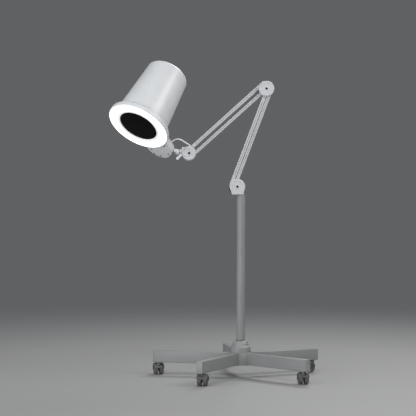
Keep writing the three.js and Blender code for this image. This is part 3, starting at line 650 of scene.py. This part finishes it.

# Each paint below is darkened in its grooves and corners as painted shade, by the amount given.
paint("white_paint", WHITE, 0.34, 0.008, 260, 0.25, painted_shade=0.35, reach=12, coat=0.2)
paint("bar_paint", shade(WHITE, 0.80), 0.36, 0.01, 420, 0.2)
paint("bracket_paint", shade(WHITE, 0.84), 0.34, 0.01, 330, 0.25, painted_shade=0.6)
paint("stand_paint", STAND, 0.44, 0.02, 300, 0.5, dust=0.2)
cast("hub_iron", shade(STAND, 1.1))
moulded("grey_plastic", shade(STAND, 1.06), 0.46, 0.1)
moulded("black_plastic", grey(0.022), 0.5, 0.12)
moulded("castor_grey", grey(0.09), 0.52, 0.08, 1100, 0.015)
moulded("castor_tread", grey(0.095), 0.62, 0.15, 900, 0.02, scuff=0.2)
metal("steel", grey(0.55), 0.32)
metal("dark_steel", grey(0.03), 0.46)
metal("spring_steel", grey(0.32), 0.38, scale=900)
lit_rim()
dark_glass()
opal()
circuit()
metal("aluminium_bare", grey(0.66), 0.36, (1, 1, 12), 300)
cable_jacket()
moulded("rubber", grey(0.012), 0.7, 0.1, 500, 0.05)


# ---- lead

WIRE_RADIUS = 2.8
BOSS_RADIUS = 3.9
CURVE_STEPS = 8
WIRE_IN_HEAD = [(0.159, 0.0105, 0.0471), (0.159, 0.0105, 0.0521)]
WIRE_FROM_POLE = [
    (-0.275, 0.011, 0.9405), (-0.265, 0.012, 0.9465), (-0.253, 0.013, 0.9488),
    (-0.241, 0.014, 0.9458), (-0.229, 0.015, 0.9386), (-0.2175, 0.016, 0.9314),
]
WIRE_BOSS = [(-0.1984, 0.017, 0.9134), (-0.204, 0.017, 0.9205)]  # foot and mouth, on the knuckle


def centripetal(points, steps):
    """A centripetal Catmull-Rom curve through points, as three.js draws it."""
    first = points[0] * 2 - points[1]
    last = points[-1] * 2 - points[-2]
    knots = [first, *points, last]
    out = []
    for k in range(1, len(knots) - 2):
        p0, p1, p2, p3 = knots[k - 1 : k + 3]
        d0, d1, d2 = ((b - a).length ** 0.5 for a, b in ((p0, p1), (p1, p2), (p2, p3)))
        start = ((p1 - p0) / d0 - (p2 - p0) / (d0 + d1) + (p2 - p1) / d1) * d1
        finish = ((p2 - p1) / d1 - (p3 - p1) / (d1 + d2) + (p3 - p2) / d2) * d1
        for j in range(steps):
            t = j / steps
            a = 2 * t**3 - 3 * t**2 + 1
            b = t**3 - 2 * t**2 + t
            c = 3 * t**2 - 2 * t**3
            d = t**3 - t**2
            out.append(p1 * a + start * b + p2 * c + finish * d)
    return [*out, points[-1]]


def lead():
    """The lead in two tubes that meet beside the yoke."""
    foot, mouth = (pole_foot + Vector(p) for p in WIRE_BOSS)
    along = (mouth - foot).normalized()
    route = [HEAD @ Vector(p) for p in WIRE_IN_HEAD]
    route += [pole_foot + Vector(p) for p in WIRE_FROM_POLE]
    route += [mouth + along * 5 * MM, mouth + along * 0.3 * MM]
    line = centripetal(route, CURVE_STEPS)
    half = len(line) // 2
    to_mm = Matrix.Scale(1 / MM, 4)
    sections = (
        ("lead_wire_head", line[: half + 1], "head", "yoke"),
        ("lead_wire_knuckle", line[half:], "yoke", "head_knuckle"),
    )
    for name, path, a, b in sections:
        bm = tube([to_mm @ p for p in path], WIRE_RADIUS, 16)
        obj = piece(name, bm, Matrix(), a, "cable_white", ["lead_wire"], ride=False)
        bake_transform(obj)


lead()


# ---- small hardware

BOTH_SIDES = (Matrix(), Matrix.Rotation(math.pi, 4, "X"))  # as it is, and turned over


def screw_head(radius, height, socket="hex"):
    """A pan head on z 0 with a hexagon or cross recess."""
    dome = [(0, 0), (radius, 0, 0.15), (radius, height, height * 0.55), (0, height)]
    head = lathe(dome, 40, False, 4)
    if socket == "hex":
        key = slab(circle(0, 0, radius * 0.5, 6), height * 0.35, height + 1)
        return cut(head, key)
    half, arm = radius * 0.13, radius * 0.6
    bars = [box(-x, x, -y, y, height * 0.3, height + 1) for x, y in ((arm, half), (half, arm))]
    return cut(head, *bars)


def screw_set(spots, z, radius, height):
    """The same cross-head screw at several (x, y) spots, each turned to its own angle."""
    heads = []
    for k, (x, y) in enumerate(spots):
        at = Matrix.Translation((x, y, z)) @ Matrix.Rotation(0.9 * k + 0.3, 4, "Z")
        heads.append(turned(screw_head(radius, height, "cross"), at))
    return merged(*heads)


def hexagon(x, y, across, z0, z1):
    """A nut with its corners turned off at both faces."""
    corner = across / math.sqrt(3)
    block = slab(circle(x, y, corner, 6), z0, z1)
    cone, rim = across * 0.5, corner + 0.1
    depth = (corner - cone) * 0.6
    profile = [(0, z0), (cone, z0), (rim, z0 + depth), (rim, z1 - depth), (cone, z1), (0, z1)]
    return boolean("INTERSECT", block, [moved(lathe(profile, 48, False), x, y, 0)])


# ---- base

LEG = Sizes(width=25, bottom=50, top=97, wall=2, start=43.3, end=355.7, corner=3.2)
CAP = Sizes(plate=3, insert=12)
WELD = Sizes(radius=1.9, step=1.2)
CASTOR = Sizes(ring=332.6, trail=11, axle_z=22)
HOOD = Sizes(half=21.5, outside=24.6, inside=23.1, skirt=17.5)
HOOD_ARC = Sizes(start=14, end=196, steps=48)
WEB = Sizes(half=3, top=38.5, radius=8)
STEM = Sizes(radius=5, foot=44, top=78, boss=9, boss_foot=39, boss_top=49.4)
WHEEL = Sizes(radius=22, inner=3.6, outer=19.4, axle=4)
HUB_FLAT = 43


def leg_section(margin=0.0, corner=None):
    """A leg's rounded section, across and up, set in by a margin."""
    half = LEG.width / 2 - margin
    low, high = LEG.bottom + margin, LEG.top - margin
    r = corner or LEG.corner
    return rounded([(-half, low, r), (half, low, r), (half, high, r), (-half, high, r)])


# A leg's section lies in local (y, z) and is drawn out along local x.
ALONG_LEG = Matrix(((0, 0, 1, 0), (1, 0, 0, 0), (0, 1, 0, 0), (0, 0, 0, 1)))


def leg(i, at):
    finish = LEG.end - CAP.plate - 0.3
    inner = leg_section(LEG.wall, 1.2)
    body = turned(slab(leg_section(), LEG.start, finish, 0.3, [inner], 2), ALONG_LEG)
    stem_hole = drum(CASTOR.ring, 0, STEM.radius + 0.7, LEG.bottom - 2, LEG.bottom + 5)
    piece(f"leg_tube_{i}", cut(body, stem_hole), at, "base", "stand_paint", [f"leg_{i}"])


def leg_cap(i, at):
    plate = slab(leg_section(0.1), LEG.end - CAP.plate, LEG.end, 1.1)
    insert = slab(leg_section(2.4, 1.0), LEG.end - CAP.plate - CAP.insert, LEG.end - 1.5)
    body = turned(joined(plate, insert), ALONG_LEG)
    piece(f"leg_end_{i}", body, at, "base", "grey_plastic", [f"leg_cap_{i}"])


def ripple(k):
    return 1.0 + 0.12 * math.sin(k * 1.9) + 0.05 * math.sin(k * 0.7)


def leg_weld(i, at):
    """The bead that joins a leg to the hub, laid round the leg in ripples."""
    section = leg_section(-0.2)
    loop = []
    for k, here in enumerate(section):
        ahead = section[(k + 1) % len(section)]
        parts = max(1, round((ahead - here).length / WELD.step))
        loop += [here.lerp(ahead, j / parts) for j in range(parts)]
    path = [(HUB_FLAT + 0.8, p.x, p.y) for p in loop]
    bead = tube(path, WELD.radius, 10, True, ripple)
    piece(f"leg_weld_{i}", bead, at, "base", "stand_paint")


# A castor's section lies in local (x, z) and is drawn out along local y.
ACROSS_CASTOR = Matrix(((1, 0, 0, 0), (0, 0, -1, 0), (0, 1, 0, 0), (0, 0, 0, 1)))


def hood_shell():
    """A thin shell swept over both wheels, its section rounded down into a skirt at each side."""
    half, top, inner, skirt = HOOD.half, HOOD.outside, HOOD.inside, HOOD.skirt
    wall = top - inner
    section = rounded(
        [
            (half, skirt, 0.5), (half, top, 7.0), (-half, top, 7.0), (-half, skirt, 0.5),
            (wall - half, skirt, 0.5), (wall - half, inner, 5.6), (half - wall, inner, 5.6),
            (half - wall, skirt, 0.5),
        ],
        steps=8,
    )
    bm = bmesh.new()
    rings = []
    start, finish, steps = HOOD_ARC.start, HOOD_ARC.end, HOOD_ARC.steps
    for k in range(steps + 1):
        turn = math.radians(start + (finish - start) * k / steps)
        along, up = math.cos(turn), math.sin(turn)
        rings.append([bm.verts.new((p.y * along, p.x, p.y * up)) for p in section])
    for a, b in zip(rings, rings[1:]):
        quads(bm, a, b)
    for ring in (rings[0], rings[-1]):
        for k in range(len(ring) // 2 - 1):
            bm.faces.new((ring[k], ring[k + 1], ring[-2 - k], ring[-1 - k]))
    return facing_out(bm)


def castor_hood(i, at):
    """The shell over both wheels, the web between them and the stem, in one moulding."""
    axle = (-CASTOR.trail, CASTOR.axle_z)
    half, inside = HOOD.half, HOOD.inside
    shell = moved(hood_shell(), axle[0], 0, axle[1])
    web_top = (-CASTOR.trail / 2, WEB.top)
    web = slab(stadium(axle, web_top, WEB.radius), -WEB.half, WEB.half, 0.6)
    web = turned(web, ACROSS_CASTOR)
    room = turned(drum(*axle, inside, -half - 1, half + 1, sides=72), ACROSS_CASTOR)
    foot, boss, top = STEM.boss_foot, STEM.boss, STEM.boss_top
    neck = [(0, foot), (boss + 2, foot), (boss + 0.6, foot + 6, 2.0), (boss, top, 0.8), (0, top)]
    neck = lathe(neck, 40, False)
    stem = drum(0, 0, STEM.radius, STEM.foot + 2, STEM.top, 0.6, 32)
    hole = turned(drum(*axle, WHEEL.axle + 0.4, -half, half), ACROSS_CASTOR)
    body = joined(shell, web, cut(joined(neck, stem), room))
    node = f"castor_hood_{i}"
    piece(f"castor_housing_{i}", cut(body, hole), at, f"castor_{i}", "castor_grey", [node])
    washer = lathe([(5.2, 0), (11, 0), (11, 0.5, 0.2), (5.2, 0.5)], 40)
    piece(f"castor_washer_{i}", washer, shifted(at, z=top + 0.05), f"castor_{i}", "steel")


def castor_wheels(i, at):
    """Two wheels with rounded treads and dished sides, their axle and their hub caps."""
    inner, outer, r = WHEEL.inner, WHEEL.outer, WHEEL.radius
    profile = [
        (0, inner), (10, inner), (11, inner + 1.0), (17.0, inner + 1.0), (18.0, inner),
        (r, inner, 2.6), (r, outer, 5.5), (15.6, outer, 0.6), (14.8, outer - 1.6, 0.6),
        (8.4, outer - 1.6, 1.0), (7.2, outer - 0.5, 0.5), (0, outer - 0.5),
    ]
    on_axle = at @ Matrix.Translation((-CASTOR.trail * MM, 0, CASTOR.axle_z * MM))
    across = on_axle @ Matrix.Rotation(math.radians(90), 4, "X")
    near, far = (turned(lathe(profile, 72, False, 7), side) for side in BOTH_SIDES)
    rod = drum(0, 0, WHEEL.axle, -inner - 1, inner + 1, 0, 32)
    body, node = f"castor_{i}_wheels", f"castor_wheels_{i}"
    tyres = joined(near, far, rod)
    piece(f"castor_tyres_{i}", tyres, across, body, "castor_tread", [node])
    low, high = outer - 0.6, outer - 0.1
    cap = [(0, low), (6.0, low, 0.2), (6.0, outer, 0.5), (3, high), (0, high)]
    caps = merged(*(turned(lathe(cap, 40, False), side) for side in BOTH_SIDES))
    piece(f"castor_hub_caps_{i}", caps, across, body, "black_plastic")


def hub_cover():
    """The stepped dome that slides down the pole over the hub."""
    profile = [
        (40, 97.4, 0.4), (40, 119.5, 3.5), (33.6, 124.6, 1.2), (31.8, 133.0, 5.0),
        (25.5, 142.4, 6.0), (19.4, 145, 1.0), (17.6, 145, 0.4), (17.6, 142.6), (24, 141.0),
        (29.2, 122.6), (37.5, 117.6), (37.5, 97.4),
    ]
    body = lathe(profile, 128, steps=6)
    piece("hub_dome", body, POLE, "base", "grey_plastic", ["hub_cover"])
    gasket = lathe([(17.1, 144.6), (18.9, 144.6), (18.7, 146.6, 0.7), (17.1, 146.8, 0.3)], 64)
    piece("pole_gasket", gasket, POLE, "base", "rubber", slot="black_plastic")


def pole():
    tube_wall = lathe([(15, 60.3), (17, 60.3, 0.3), (17, 720, 0.5), (15, 720, 0.3)], 128)
    piece("pole_tube", tube_wall, POLE, "base", "stand_paint", ["pole"])
    sleeve = [
        (8.3, 690, 0.3), (14.7, 690, 0.5), (14.7, 720.3), (17, 720.3, 0.4), (17, 725, 0.9),
        (8.3, 725, 0.5),
    ]
    piece("pole_sleeve", lathe(sleeve, 96), POLE, "base", "grey_plastic", ["pole_bush"])


carried("hub", "hub_iron", 1.6)
hub_cover()
pole()
for n in range(1, 6):
    along = leg_frame(n)
    leg(n, along)
    leg_cap(n, along)
    leg_weld(n, along)
    at_castor = castor_frame(n)
    castor_hood(n, at_castor)
    castor_wheels(n, at_castor)


# ---- knuckles

COVER = Sizes(inside=13, depth=7, wall=2.2, hole=4.7, radius=31, head_radius=28)
BASE_FOOT = Sizes(left=-36, right=8)  # from the pole's axis
# Sizes of the black pad in the base knuckle, which paints the shade of the gap between the covers.
SHADE_PAD = Sizes(outside=34.2, inside=29.2, start=186, end=226, half=10)
BOLT_SEAT = 17.2


def round_cover(radius):
    """A dished disc on z 0: a broad rounded rim, a shallow recess and a raised seat for its screw."""
    top, wall, hole = COVER.depth, COVER.wall, COVER.hole
    profile = [
        (hole, top - wall), (radius - wall - 3, top - wall), (radius - wall, top - wall - 2),
        (radius - wall, 0), (radius, 0, 0.4), (radius, top, 4.2), (radius - 6.5, top, 0.8),
        (radius - 7.2, top - 0.7, 0.6), (8.4, top - 0.7, 0.5), (7.8, top - 0.1, 0.4),
        (hole, top - 0.1, 0.5),
    ]
    return lathe(profile, 112)


def base_outline(radius, left, right, foot):
    """A round top on a flat foot, seen from the front."""
    points = arc((0, 0), radius, -10, 215, 60)
    return rounded([(left, foot, 3.0), (right, foot, 3.0)] + points, steps=4)


def base_cover(name, node, at, mirrored):
    """The base knuckle's cover: rounded at the rim, flat at the foot, recessed like the others."""
    radius = COVER.radius
    knuckle = middle("base_cover_screw")
    foot = (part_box(node)[0].z - knuckle.z) / MM
    left, right = ((pole_foot.x - knuckle.x) / MM + side for side in (BASE_FOOT.left, BASE_FOOT.right))
    outline = base_outline(radius, left, right, foot)
    if mirrored:
        outline = [Vector((-p[0], p[1])) for p in reversed(outline)]
    top = COVER.inside + COVER.depth
    body = slab(outline, COVER.inside, top, 3.0, steps=6)
    dish = [(0, top - 0.7, 0), (radius - 9, top - 0.7, 0.5), (radius - 8.2, top + 1), (0, top + 1)]
    recess = lathe(dish, 96, False)
    seat = lathe([(0, top - 1.2), (8.2, top - 1.2), (7.8, top - 0.1, 0.4), (0, top - 0.1)], 64, False)
    body = joined(cut(body, recess), seat)
    bore = drum(0, 0, COVER.hole, COVER.inside - 1, top + 2)
    piece(name, cut(body, bore), at, "arm_mount", "bracket_paint", [node])


def cover_screw(name, node, body, front, shank):
    """A bolt through both covers with a dark socket head at each end."""
    rod = drum(0, 0, shank, -BOLT_SEAT, BOLT_SEAT, 0, 32)
    seat = Matrix.Translation((0, 0, BOLT_SEAT - 0.2))
    heads = [turned(screw_head(4.2, 2.5), side @ seat) for side in BOTH_SIDES]
    piece(name, merged(rod, *heads), front, body, "dark_steel", [node], "steel")


def base_knuckle():
    front, rear = facing("base_cover_screw")
    carried("base_bracket", "bracket_paint", 0.6)
    base_cover("base_face_front", "base_cover_front", front, False)
    base_cover("base_face_rear", "base_cover_rear", rear, True)
    cover_screw("base_face_bolt", "base_cover_screw", "arm_mount", front, 2.5)
    # A black rubber crescent between the covers at the lower left, put there as painted shade for the
    # dark gap between them.
    start, finish, half = SHADE_PAD.start, SHADE_PAD.end, SHADE_PAD.half
    pad = arc((0, 0), SHADE_PAD.outside, start, finish, 16)
    pad += arc((0, 0), SHADE_PAD.inside, finish, start, 16)
    stop = slab(pad, -half, half, 0.6, steps=3)
    piece("lean_pad_painted_shade", stop, front, "arm_mount", "rubber", slot="black_plastic")


def elbow_knuckle():
    front, rear = facing("elbow_pivot_bolt")
    carried("elbow_bracket", "bracket_paint", 0.6)
    for side, at in (("front", front), ("rear", rear)):
        disc, at = round_cover(COVER.radius), shifted(at, z=COVER.inside)
        piece(f"elbow_face_{side}", disc, at, "elbow", "bracket_paint", [f"elbow_cover_{side}"])
    cover_screw("elbow_face_bolt", "elbow_pivot_bolt", "elbow", front, 3.5)


def head_knuckle():
    front, rear = facing("head_cover_screw")
    carried("head_bracket", "bracket_paint", 0.6)
    inside, top = COVER.inside, COVER.depth
    seam = (-10.5, 1)
    line = slab(circle(*seam, 16.4, 96), top - 1.5, top + 1, holes=[circle(*seam, 15.2, 96)])
    disc = cut(round_cover(COVER.head_radius), line)
    at = shifted(front, z=inside)
    piece("head_face_front", disc, at, "head_knuckle", "bracket_paint", ["head_cover_front"])
    foot, mouth = (rear.inverted() @ (pole_foot + Vector(p)) / MM for p in WIRE_BOSS)
    along = (mouth - foot).normalized()
    spine = [foot - along * 6, foot, mouth - along * 0.8, mouth]
    spout = tube(spine, BOSS_RADIUS, 32, swell=lambda k: (1, 1, 0.86, 0.74)[k])
    body = joined(moved(round_cover(COVER.head_radius), 0, 0, inside), spout)
    piece("head_face_rear", body, rear, "head_knuckle", "bracket_paint", ["head_cover_rear"])
    cover_screw("head_face_bolt", "head_cover_screw", "head_knuckle", front, 2.5)


base_knuckle()
elbow_knuckle()
head_knuckle()


# ---- arm

BAR = Sizes(half=9.5, main=14.0, link=12.7, eye=4.4, wall=1.6, room_half=7)
GROOVE = Sizes(half=1.8, depth=1.8, start=34)
FORK = Sizes(reach=24, slot=6.7, tongue=6.3, long_tongue=38)


def bar(name, node, body, start, finish, height, forked=False, tongue=0, spring_ends=None):
    """A grooved bar between two pivots, with eyes for the pins and a fork or a tongue at one end."""
    length = (finish - start).length / MM
    at = axes(start, finish - start, -ALONG_Y)
    half, depth = BAR.half, GROOVE.depth
    blank = slab(stadium((0, 0), (length, 0), height / 2), -half, half, 1.5, steps=4)
    line = stadium((GROOVE.start, 0), (length - GROOVE.start, 0), GROOVE.half)
    cuts = [slab(line, half - depth, half + 1), slab(line, -half - 1, depth - half)]
    cuts += [drum(x, 0, BAR.eye, -half - 1, half + 1) for x in (0, length)]
    if forked:
        cuts.append(drum(length, 0, FORK.reach, -FORK.slot, FORK.slot, sides=72))
    if tongue:
        cuts.append(drum(0, 0, tongue, FORK.tongue, half + 1, sides=72))
        cuts.append(drum(0, 0, tongue, -half - 1, -FORK.tongue, sides=72))
    if spring_ends:
        room = stadium((spring_ends[0], 0), (length - spring_ends[1], 0), height / 2 - BAR.wall)
        cuts.append(slab(room, -BAR.room_half, BAR.room_half))
    piece(name, cut(blank, *cuts), at, body, "bar_paint", [node], edge=0.35)
    return at


def arm():
    """Two parallelograms of bars; the springs inside the main bars come from the CAD."""
    main, link = BAR.main, BAR.link
    start, turn = pivot("lower_arm_lean"), pivot("lower_link_turn")
    along = pivot("elbow_level") - start
    name, node = "lower_bar", "lower_main_bar"
    bar(name, node, "lower_arm", start, start + along, main, forked=True, spring_ends=(40, 20))
    bar("lower_link", "lower_link_bar", "lower_link", turn, turn + along, link, forked=True)
    start, turn = pivot("upper_arm_raise"), pivot("upper_link_turn")
    along = pivot("head_level") - start
    name, node, reach = "upper_bar", "upper_main_bar", FORK.reach
    at = bar(name, node, "upper_arm", start, start + along, main, tongue=reach, spring_ends=(40, 30))
    name, node, reach = "upper_link", "upper_link_bar", FORK.long_tongue
    bar(name, node, "upper_link", turn, turn + along, link, tongue=reach)
    # A black rubber block between the upper bars by the elbow, put there as painted shade for the dark
    # gap there.
    pad = box(31, 45, 7.5, 11, -6, 6, 0.8)
    piece("upper_pad_painted_shade", pad, at, "upper_arm", "rubber", slot="black_plastic")
    for spring in ("lower_spring", "upper_spring"):
        carried(spring, "spring_steel")


arm()


# ---- yoke and clamp


def clamp_lever():
    """A flat tapered lever on the clamp screw, with a domed hub and a nut behind."""
    at = axes(pivot("clamp_lever_turn"), ALONG_X, -ALONG_Y)
    at.translation.y = pole_foot.y
    hub = drum(0, 0, 6.4, 7, 12.6, 1.4)
    arm = slab(stadium((0, 0), (-13.2, -14.3), 4.8, 5.6), 8.2, 12.4, 1.4)
    shaft = drum(0, 0, 2.4, -8, 8, 0, 32)
    nut = hexagon(0, 0, 7.6, -10, -7)
    body = merged(joined(hub, arm, shaft), nut)
    piece("clamp_handle", body, at, "clamp_lever", "white_paint", ["clamp_lever"])


def swing_bolt():
    """The bolt that the head swings on, across the yoke's two cheeks."""
    reach = 7.6
    head = moved(screw_head(5.4, 3.6), 0, 0, reach)
    nut = hexagon(0, 0, 9.7, -reach - 3.8, -reach)
    shank = drum(0, 0, 3, -reach - 5, reach + 0.5, 0.4, 32)
    at = shifted(HEAD, BOLT.x, BOLT.y, BOLT.z)
    piece("yoke_bolt", merged(head, nut, shank), at, "yoke", "steel", ["swing_bolt"])


carried("yoke_fork", "white_paint", 0.6)
clamp_lever()
swing_bolt()


# ---- lamp head

SHELL = Sizes(neck=107, rear=85.2, length=285.4, corner=16, wall=2.5, front=19.8)
LIP = Sizes(radius=127.5, depth=17.5, wall=3)
LUG = Sizes(front=8, back=34.2, ear_half=3.5, ear=8.5, room=10.0)
PLATE = Sizes(sunk=0.9, proud=0.6, inset=3.2, cover=2.3)
RIM = Sizes(inside=79.8, outside=88)
BUTTON = Sizes(x=152, y=34, radius=7, room=9.2, room_depth=10)
GLAND = Sizes(x=159, y=10.5)
FACE_SCREWS = [(177.5, 20.5), (170.5, 68), (149, 86), (124, 75), (137, -3)]
COVER_SCREWS = [(130, 80), (178, 62), (176, 18), (130, -16)]
THROUGH = 60  # mm, well past the back of the lug
HEAD_SIDES = 192


def lug_outline(margin=0.0):
    """The lug seen from the front of the head, set in by a margin."""
    top = curve(((118, 92), (150, 104), (190, 82), (193, 46)), 18)
    tail = curve(((187, 12), (181, -7), (156, -16)), 10)
    around = [(96, 86), (118, 92)] + top + [(187, 12)] + tail + [(96, -41)]
    outline = [Vector(p) for p in reversed(around)]
    return inset(outline, margin) if margin else outline


def lamp_shell():
    neck, rear, length, front = SHELL.neck, SHELL.rear, SHELL.length, SHELL.front
    corner, wall = SHELL.corner, SHELL.wall
    profile = [
        (0, length), (rear, length, corner), (neck, front, 0.5), (neck - wall, front),
        (rear - wall, length - wall, corner - wall), (0, length - wall),
    ]
    body = lathe(profile, HEAD_SIDES, False, 10)
    piece("lamp_cone", body, HEAD, "head", "white_paint", ["lamp_shell"])


def front_lip():
    """The rounded lip round the glowing ring, and the shoulder that the cone stands on."""
    r, depth, wall = LIP.radius, LIP.depth, LIP.wall
    neck = SHELL.neck
    profile = [
        (r - wall, 0.0, 0.5), (r, 0.0, 2.4), (r, depth, 2.0), (neck + 2.2, depth + 2, 1.2),
        (neck + 1.4, depth + 2.6, 0.5), (neck + 0.3, depth + 2.6), (neck + 0.3, depth + 2.0),
        (neck - 2.5, depth + 2), (neck - 2.5, depth - 1), (r - wall, depth - 3),
    ]
    body = lathe(profile, HEAD_SIDES, steps=6)
    piece("lamp_lip", body, HEAD, "head", "white_paint", ["front_housing"])


def lug():
    """The hollow arm of the housing that carries the swing joint, its face plate and its screws."""
    x, y, z = BOLT
    front, back, room = LUG.front, LUG.back, LUG.room
    body = slab(lug_outline(), front, back, 2.6, steps=5)
    body = cut(body, drum(0, 0, LIP.radius - 1.5, -1, LIP.depth - 0.5, sides=HEAD_SIDES))
    body = cut(body, drum(0, 0, SHELL.neck + 0.8, LIP.depth - 2, back + 5, sides=HEAD_SIDES))
    low, high = z - LUG.ear_half, z + LUG.ear_half
    pocket = drum(BUTTON.x, BUTTON.y, BUTTON.room, back - BUTTON.room_depth, THROUGH)
    body = cut(body, drum(x, y, room, high, THROUGH), drum(x, y, room, 0, low), pocket)
    ear = slab(stadium((177, 9), (x, y), LUG.ear), low, high, 0.8)
    body = cut(joined(body, ear), drum(x, y, 3.4, 0, THROUGH))
    piece("lamp_lug", body, HEAD, "head", "white_paint", ["front_housing"])
    sunk = front - PLATE.sunk
    plate = slab(lug_outline(PLATE.inset), sunk, front + PLATE.proud, 0.5, steps=3)
    round_lip = drum(0, 0, LIP.radius + 0.6, -1, 20, sides=HEAD_SIDES)
    plate = cut(plate, round_lip, drum(x, y, room + 1, 0, 20))
    piece("lug_face_plate", plate, HEAD, "head", "white_paint")
    screws = screw_set(FACE_SCREWS, sunk, 2.9, 1.1)
    flip = Matrix.Translation((0, 0, 2 * sunk)) @ Matrix.Scale(-1, 4, (0, 0, 1))
    piece("lug_face_screws", turned(screws, flip), HEAD, "head", "dark_steel", slot="steel")


def lug_cover():
    """The plate on the lug's back, with the lead's gland and the power button in it."""
    x, y = BOLT.x, BOLT.y
    low, high = LUG.back + 0.3, LUG.back + PLATE.cover
    plate = slab(lug_outline(), low, high, 0.7, steps=3)
    openings = [
        drum(0, 0, SHELL.neck + 1, 0, THROUGH, sides=HEAD_SIDES),
        drum(x, y, LUG.room, 0, THROUGH),
        drum(BUTTON.x, BUTTON.y, BUTTON.radius + 0.5, 0, THROUGH),
    ]
    piece("lug_back_plate", cut(plate, *openings), HEAD, "head", "white_paint", ["lug_cover"])
    screws = screw_set(COVER_SCREWS, high, 2.3, 1.2)
    piece("lug_back_screws", screws, HEAD, "head", "dark_steel", slot="steel")
    ring = lathe([(7.5, 0), (9.6, 0, 0.2), (9.0, 1.2, 0.5), (7.5, 1.2, 0.3)], 64)
    seat = shifted(HEAD, BUTTON.x, BUTTON.y, high)
    # The button ring has the rim's finish, and so the same painted glow.
    piece("button_ring", ring, seat, "head", "rim_grey")


def power_button():
    """A round cap with a flange that keeps it behind the plate."""
    r = BUTTON.radius
    profile = [
        (0, -8), (r + 1.5, -8), (r + 1.5, -5), (r, -5), (r, 3, 1.0), (r - 2, 2.8, 1.0), (0, 2.2),
    ]
    at = shifted(HEAD, BUTTON.x, BUTTON.y, LUG.back + PLATE.cover)
    body = lathe(profile, 64, False)
    piece("button_cap", body, at, "power_button", "black_plastic", ["power_button"])


def gland():
    """Hexagon foot, ribbed clamping nut and the soft boot that the lead leaves through."""
    at = shifted(HEAD, GLAND.x, GLAND.y, LUG.back + 2.6)
    foot = hexagon(0, 0, 11.2, 0, 3)
    outline = []
    for k in range(60):
        r, turn = 5.0 + math.cos(2 * math.pi * k / 3) * 0.22, math.radians(6 * k)
        outline.append((r * math.cos(turn), r * math.sin(turn)))
    nut = slab(outline, 3, 7.4, 0.5, steps=3)
    dome = lathe([(0, 7), (4.6, 7), (3.5, 10, 1.0), (0, 10)], 48, False)
    piece("lead_gland", joined(foot, nut, dome), at, "head", "cable_white", ["cable_gland"])


def ring_light():
    """The opal ring and its rim, and the dark window inside it."""
    outer = LIP.radius - LIP.wall - 0.3
    inner = RIM.outside + 0.3
    crown = [(inner, 1.3, 0.3), (inner + 6, 0.95), ((inner + outer) / 2, 0.8)]
    crown += [(outer - 6, 0.95), (outer, 1.3, 0.3), (outer, 4), (inner, 4)]
    piece("glow_ring", lathe(crown, HEAD_SIDES), HEAD, "head", "glow", ["diffuser_ring"])
    low, high = RIM.inside, RIM.outside
    rim = [
        (low, 1.8, 0.4), (low + 1.4, 0.4, 0.6), (high - 2.4, 0.4, 0.3), (high - 2.2, 2.2, 0.2),
        (high - 0.9, 2.2, 0.2), (high - 0.7, 0.8, 0.2), (high, 0.8, 0.2), (high, 8), (low, 8),
    ]
    # The rim's finish carries a painted glow, and painted shade in its grooves.
    piece("inner_rim", lathe(rim, HEAD_SIDES), HEAD, "head", "rim_grey", ["bezel"])
    glass = [(0, 3.3), (78.6, 3.5, 0.3), (79.4, 4.3, 0.3), (79.4, 6.5), (0, 6.5)]
    body = lathe(glass, HEAD_SIDES, False)
    piece("dark_window", body, HEAD, "head", "window_black", ["window"])


for build in (lamp_shell, front_lip, lug, lug_cover, power_button, gland, ring_light):
    build()
carried("led_board", "board")
carried("heat_sink", "aluminium_bare", 0.3)
carried("lens_barrel", "black_plastic")
carried("lamp_module", "steel")
carried("driver_unit", "board")


# ---- floor and light


FLOOR = Sizes(radius=6.0, fade=(1.2, 4.5), tone=0.36)
WORLD_STRENGTH = 0.125
PLAIN = (1.0, 1.0, 1.0)
WARM = (1.0, 0.99, 0.97)
COOL = (0.97, 0.985, 1.0)

# Each light: its place, what it looks at, its width and height in metres, its watts and its colour.
AT_HEAD = tuple(HEAD.translation)
AT_ARM = (pole_foot.x, pole_foot.y, 0.8)
LIGHTS = {
    "front": ((-0.4, -3.2, 3.9), AT_HEAD, 2.4, 2.0, 54, PLAIN),
    "key": ((2.9, -1.3, 3.2), AT_ARM, 1.8, 1.8, 34, WARM),
    "left": ((-3.2, -1.6, 2.2), AT_HEAD, 2.0, 2.0, 34, COOL),
    "low": ((-1.6, -3.4, 0.65), AT_HEAD, 2.0, 0.8, 46, COOL),
    "strip": (HEAD.translation + Vector((2.0, -0.45, 0.80)), AT_HEAD, 0.7, 1.6, 9, PLAIN),
    "rim": ((1.2, 2.2, 3.2), AT_ARM, 2.0, 1.6, 62, PLAIN),
}


def floor():
    """A pale round floor that fades out into the background all round."""
    bm = bmesh.new()
    bmesh.ops.create_circle(bm, cap_ends=True, segments=96, radius=FLOOR.radius)
    obj = linked("floor", as_mesh("floor", bm))
    f = Finish("floor", 0.55)
    away = f.add("ShaderNodeVectorMath", {0: f.place}, operation="LENGTH")
    f.feed(f.shader.inputs["Alpha"], f.ranged(away.outputs["Value"], *FLOOR.fade, 1.0, 0.0))
    tone = f.mix(f.noise(3, 3), grey(FLOOR.tone), grey(FLOOR.tone * 1.02))
    f.finish(tone, None, f.raised(f.noise(160, 3), 0.05))
    obj.data.materials.append(look["floor"])


def area_light(name, at, target, width, height, watts, colour):
    data = bpy.data.lights.new(name, "AREA")
    data.shape = "RECTANGLE"
    data.size = width
    data.size_y = height
    data.energy = watts
    data.color = colour
    light = linked(name, data)
    light.location = at
    light.rotation_euler = (Vector(target) - Vector(at)).to_track_quat("-Z", "Y").to_euler()


def studio():
    world = bpy.data.worlds.new("studio")
    world.use_nodes = True
    back = world.node_tree.nodes["Background"]
    back.inputs["Color"].default_value = (0.93, 0.96, 1.0, 1.0)
    back.inputs["Strength"].default_value = WORLD_STRENGTH
    bpy.context.scene.world = world
    for name, light in LIGHTS.items():
        area_light(name, *light)


floor()
studio()
bpy.context.scene.view_settings.view_transform = "Standard"
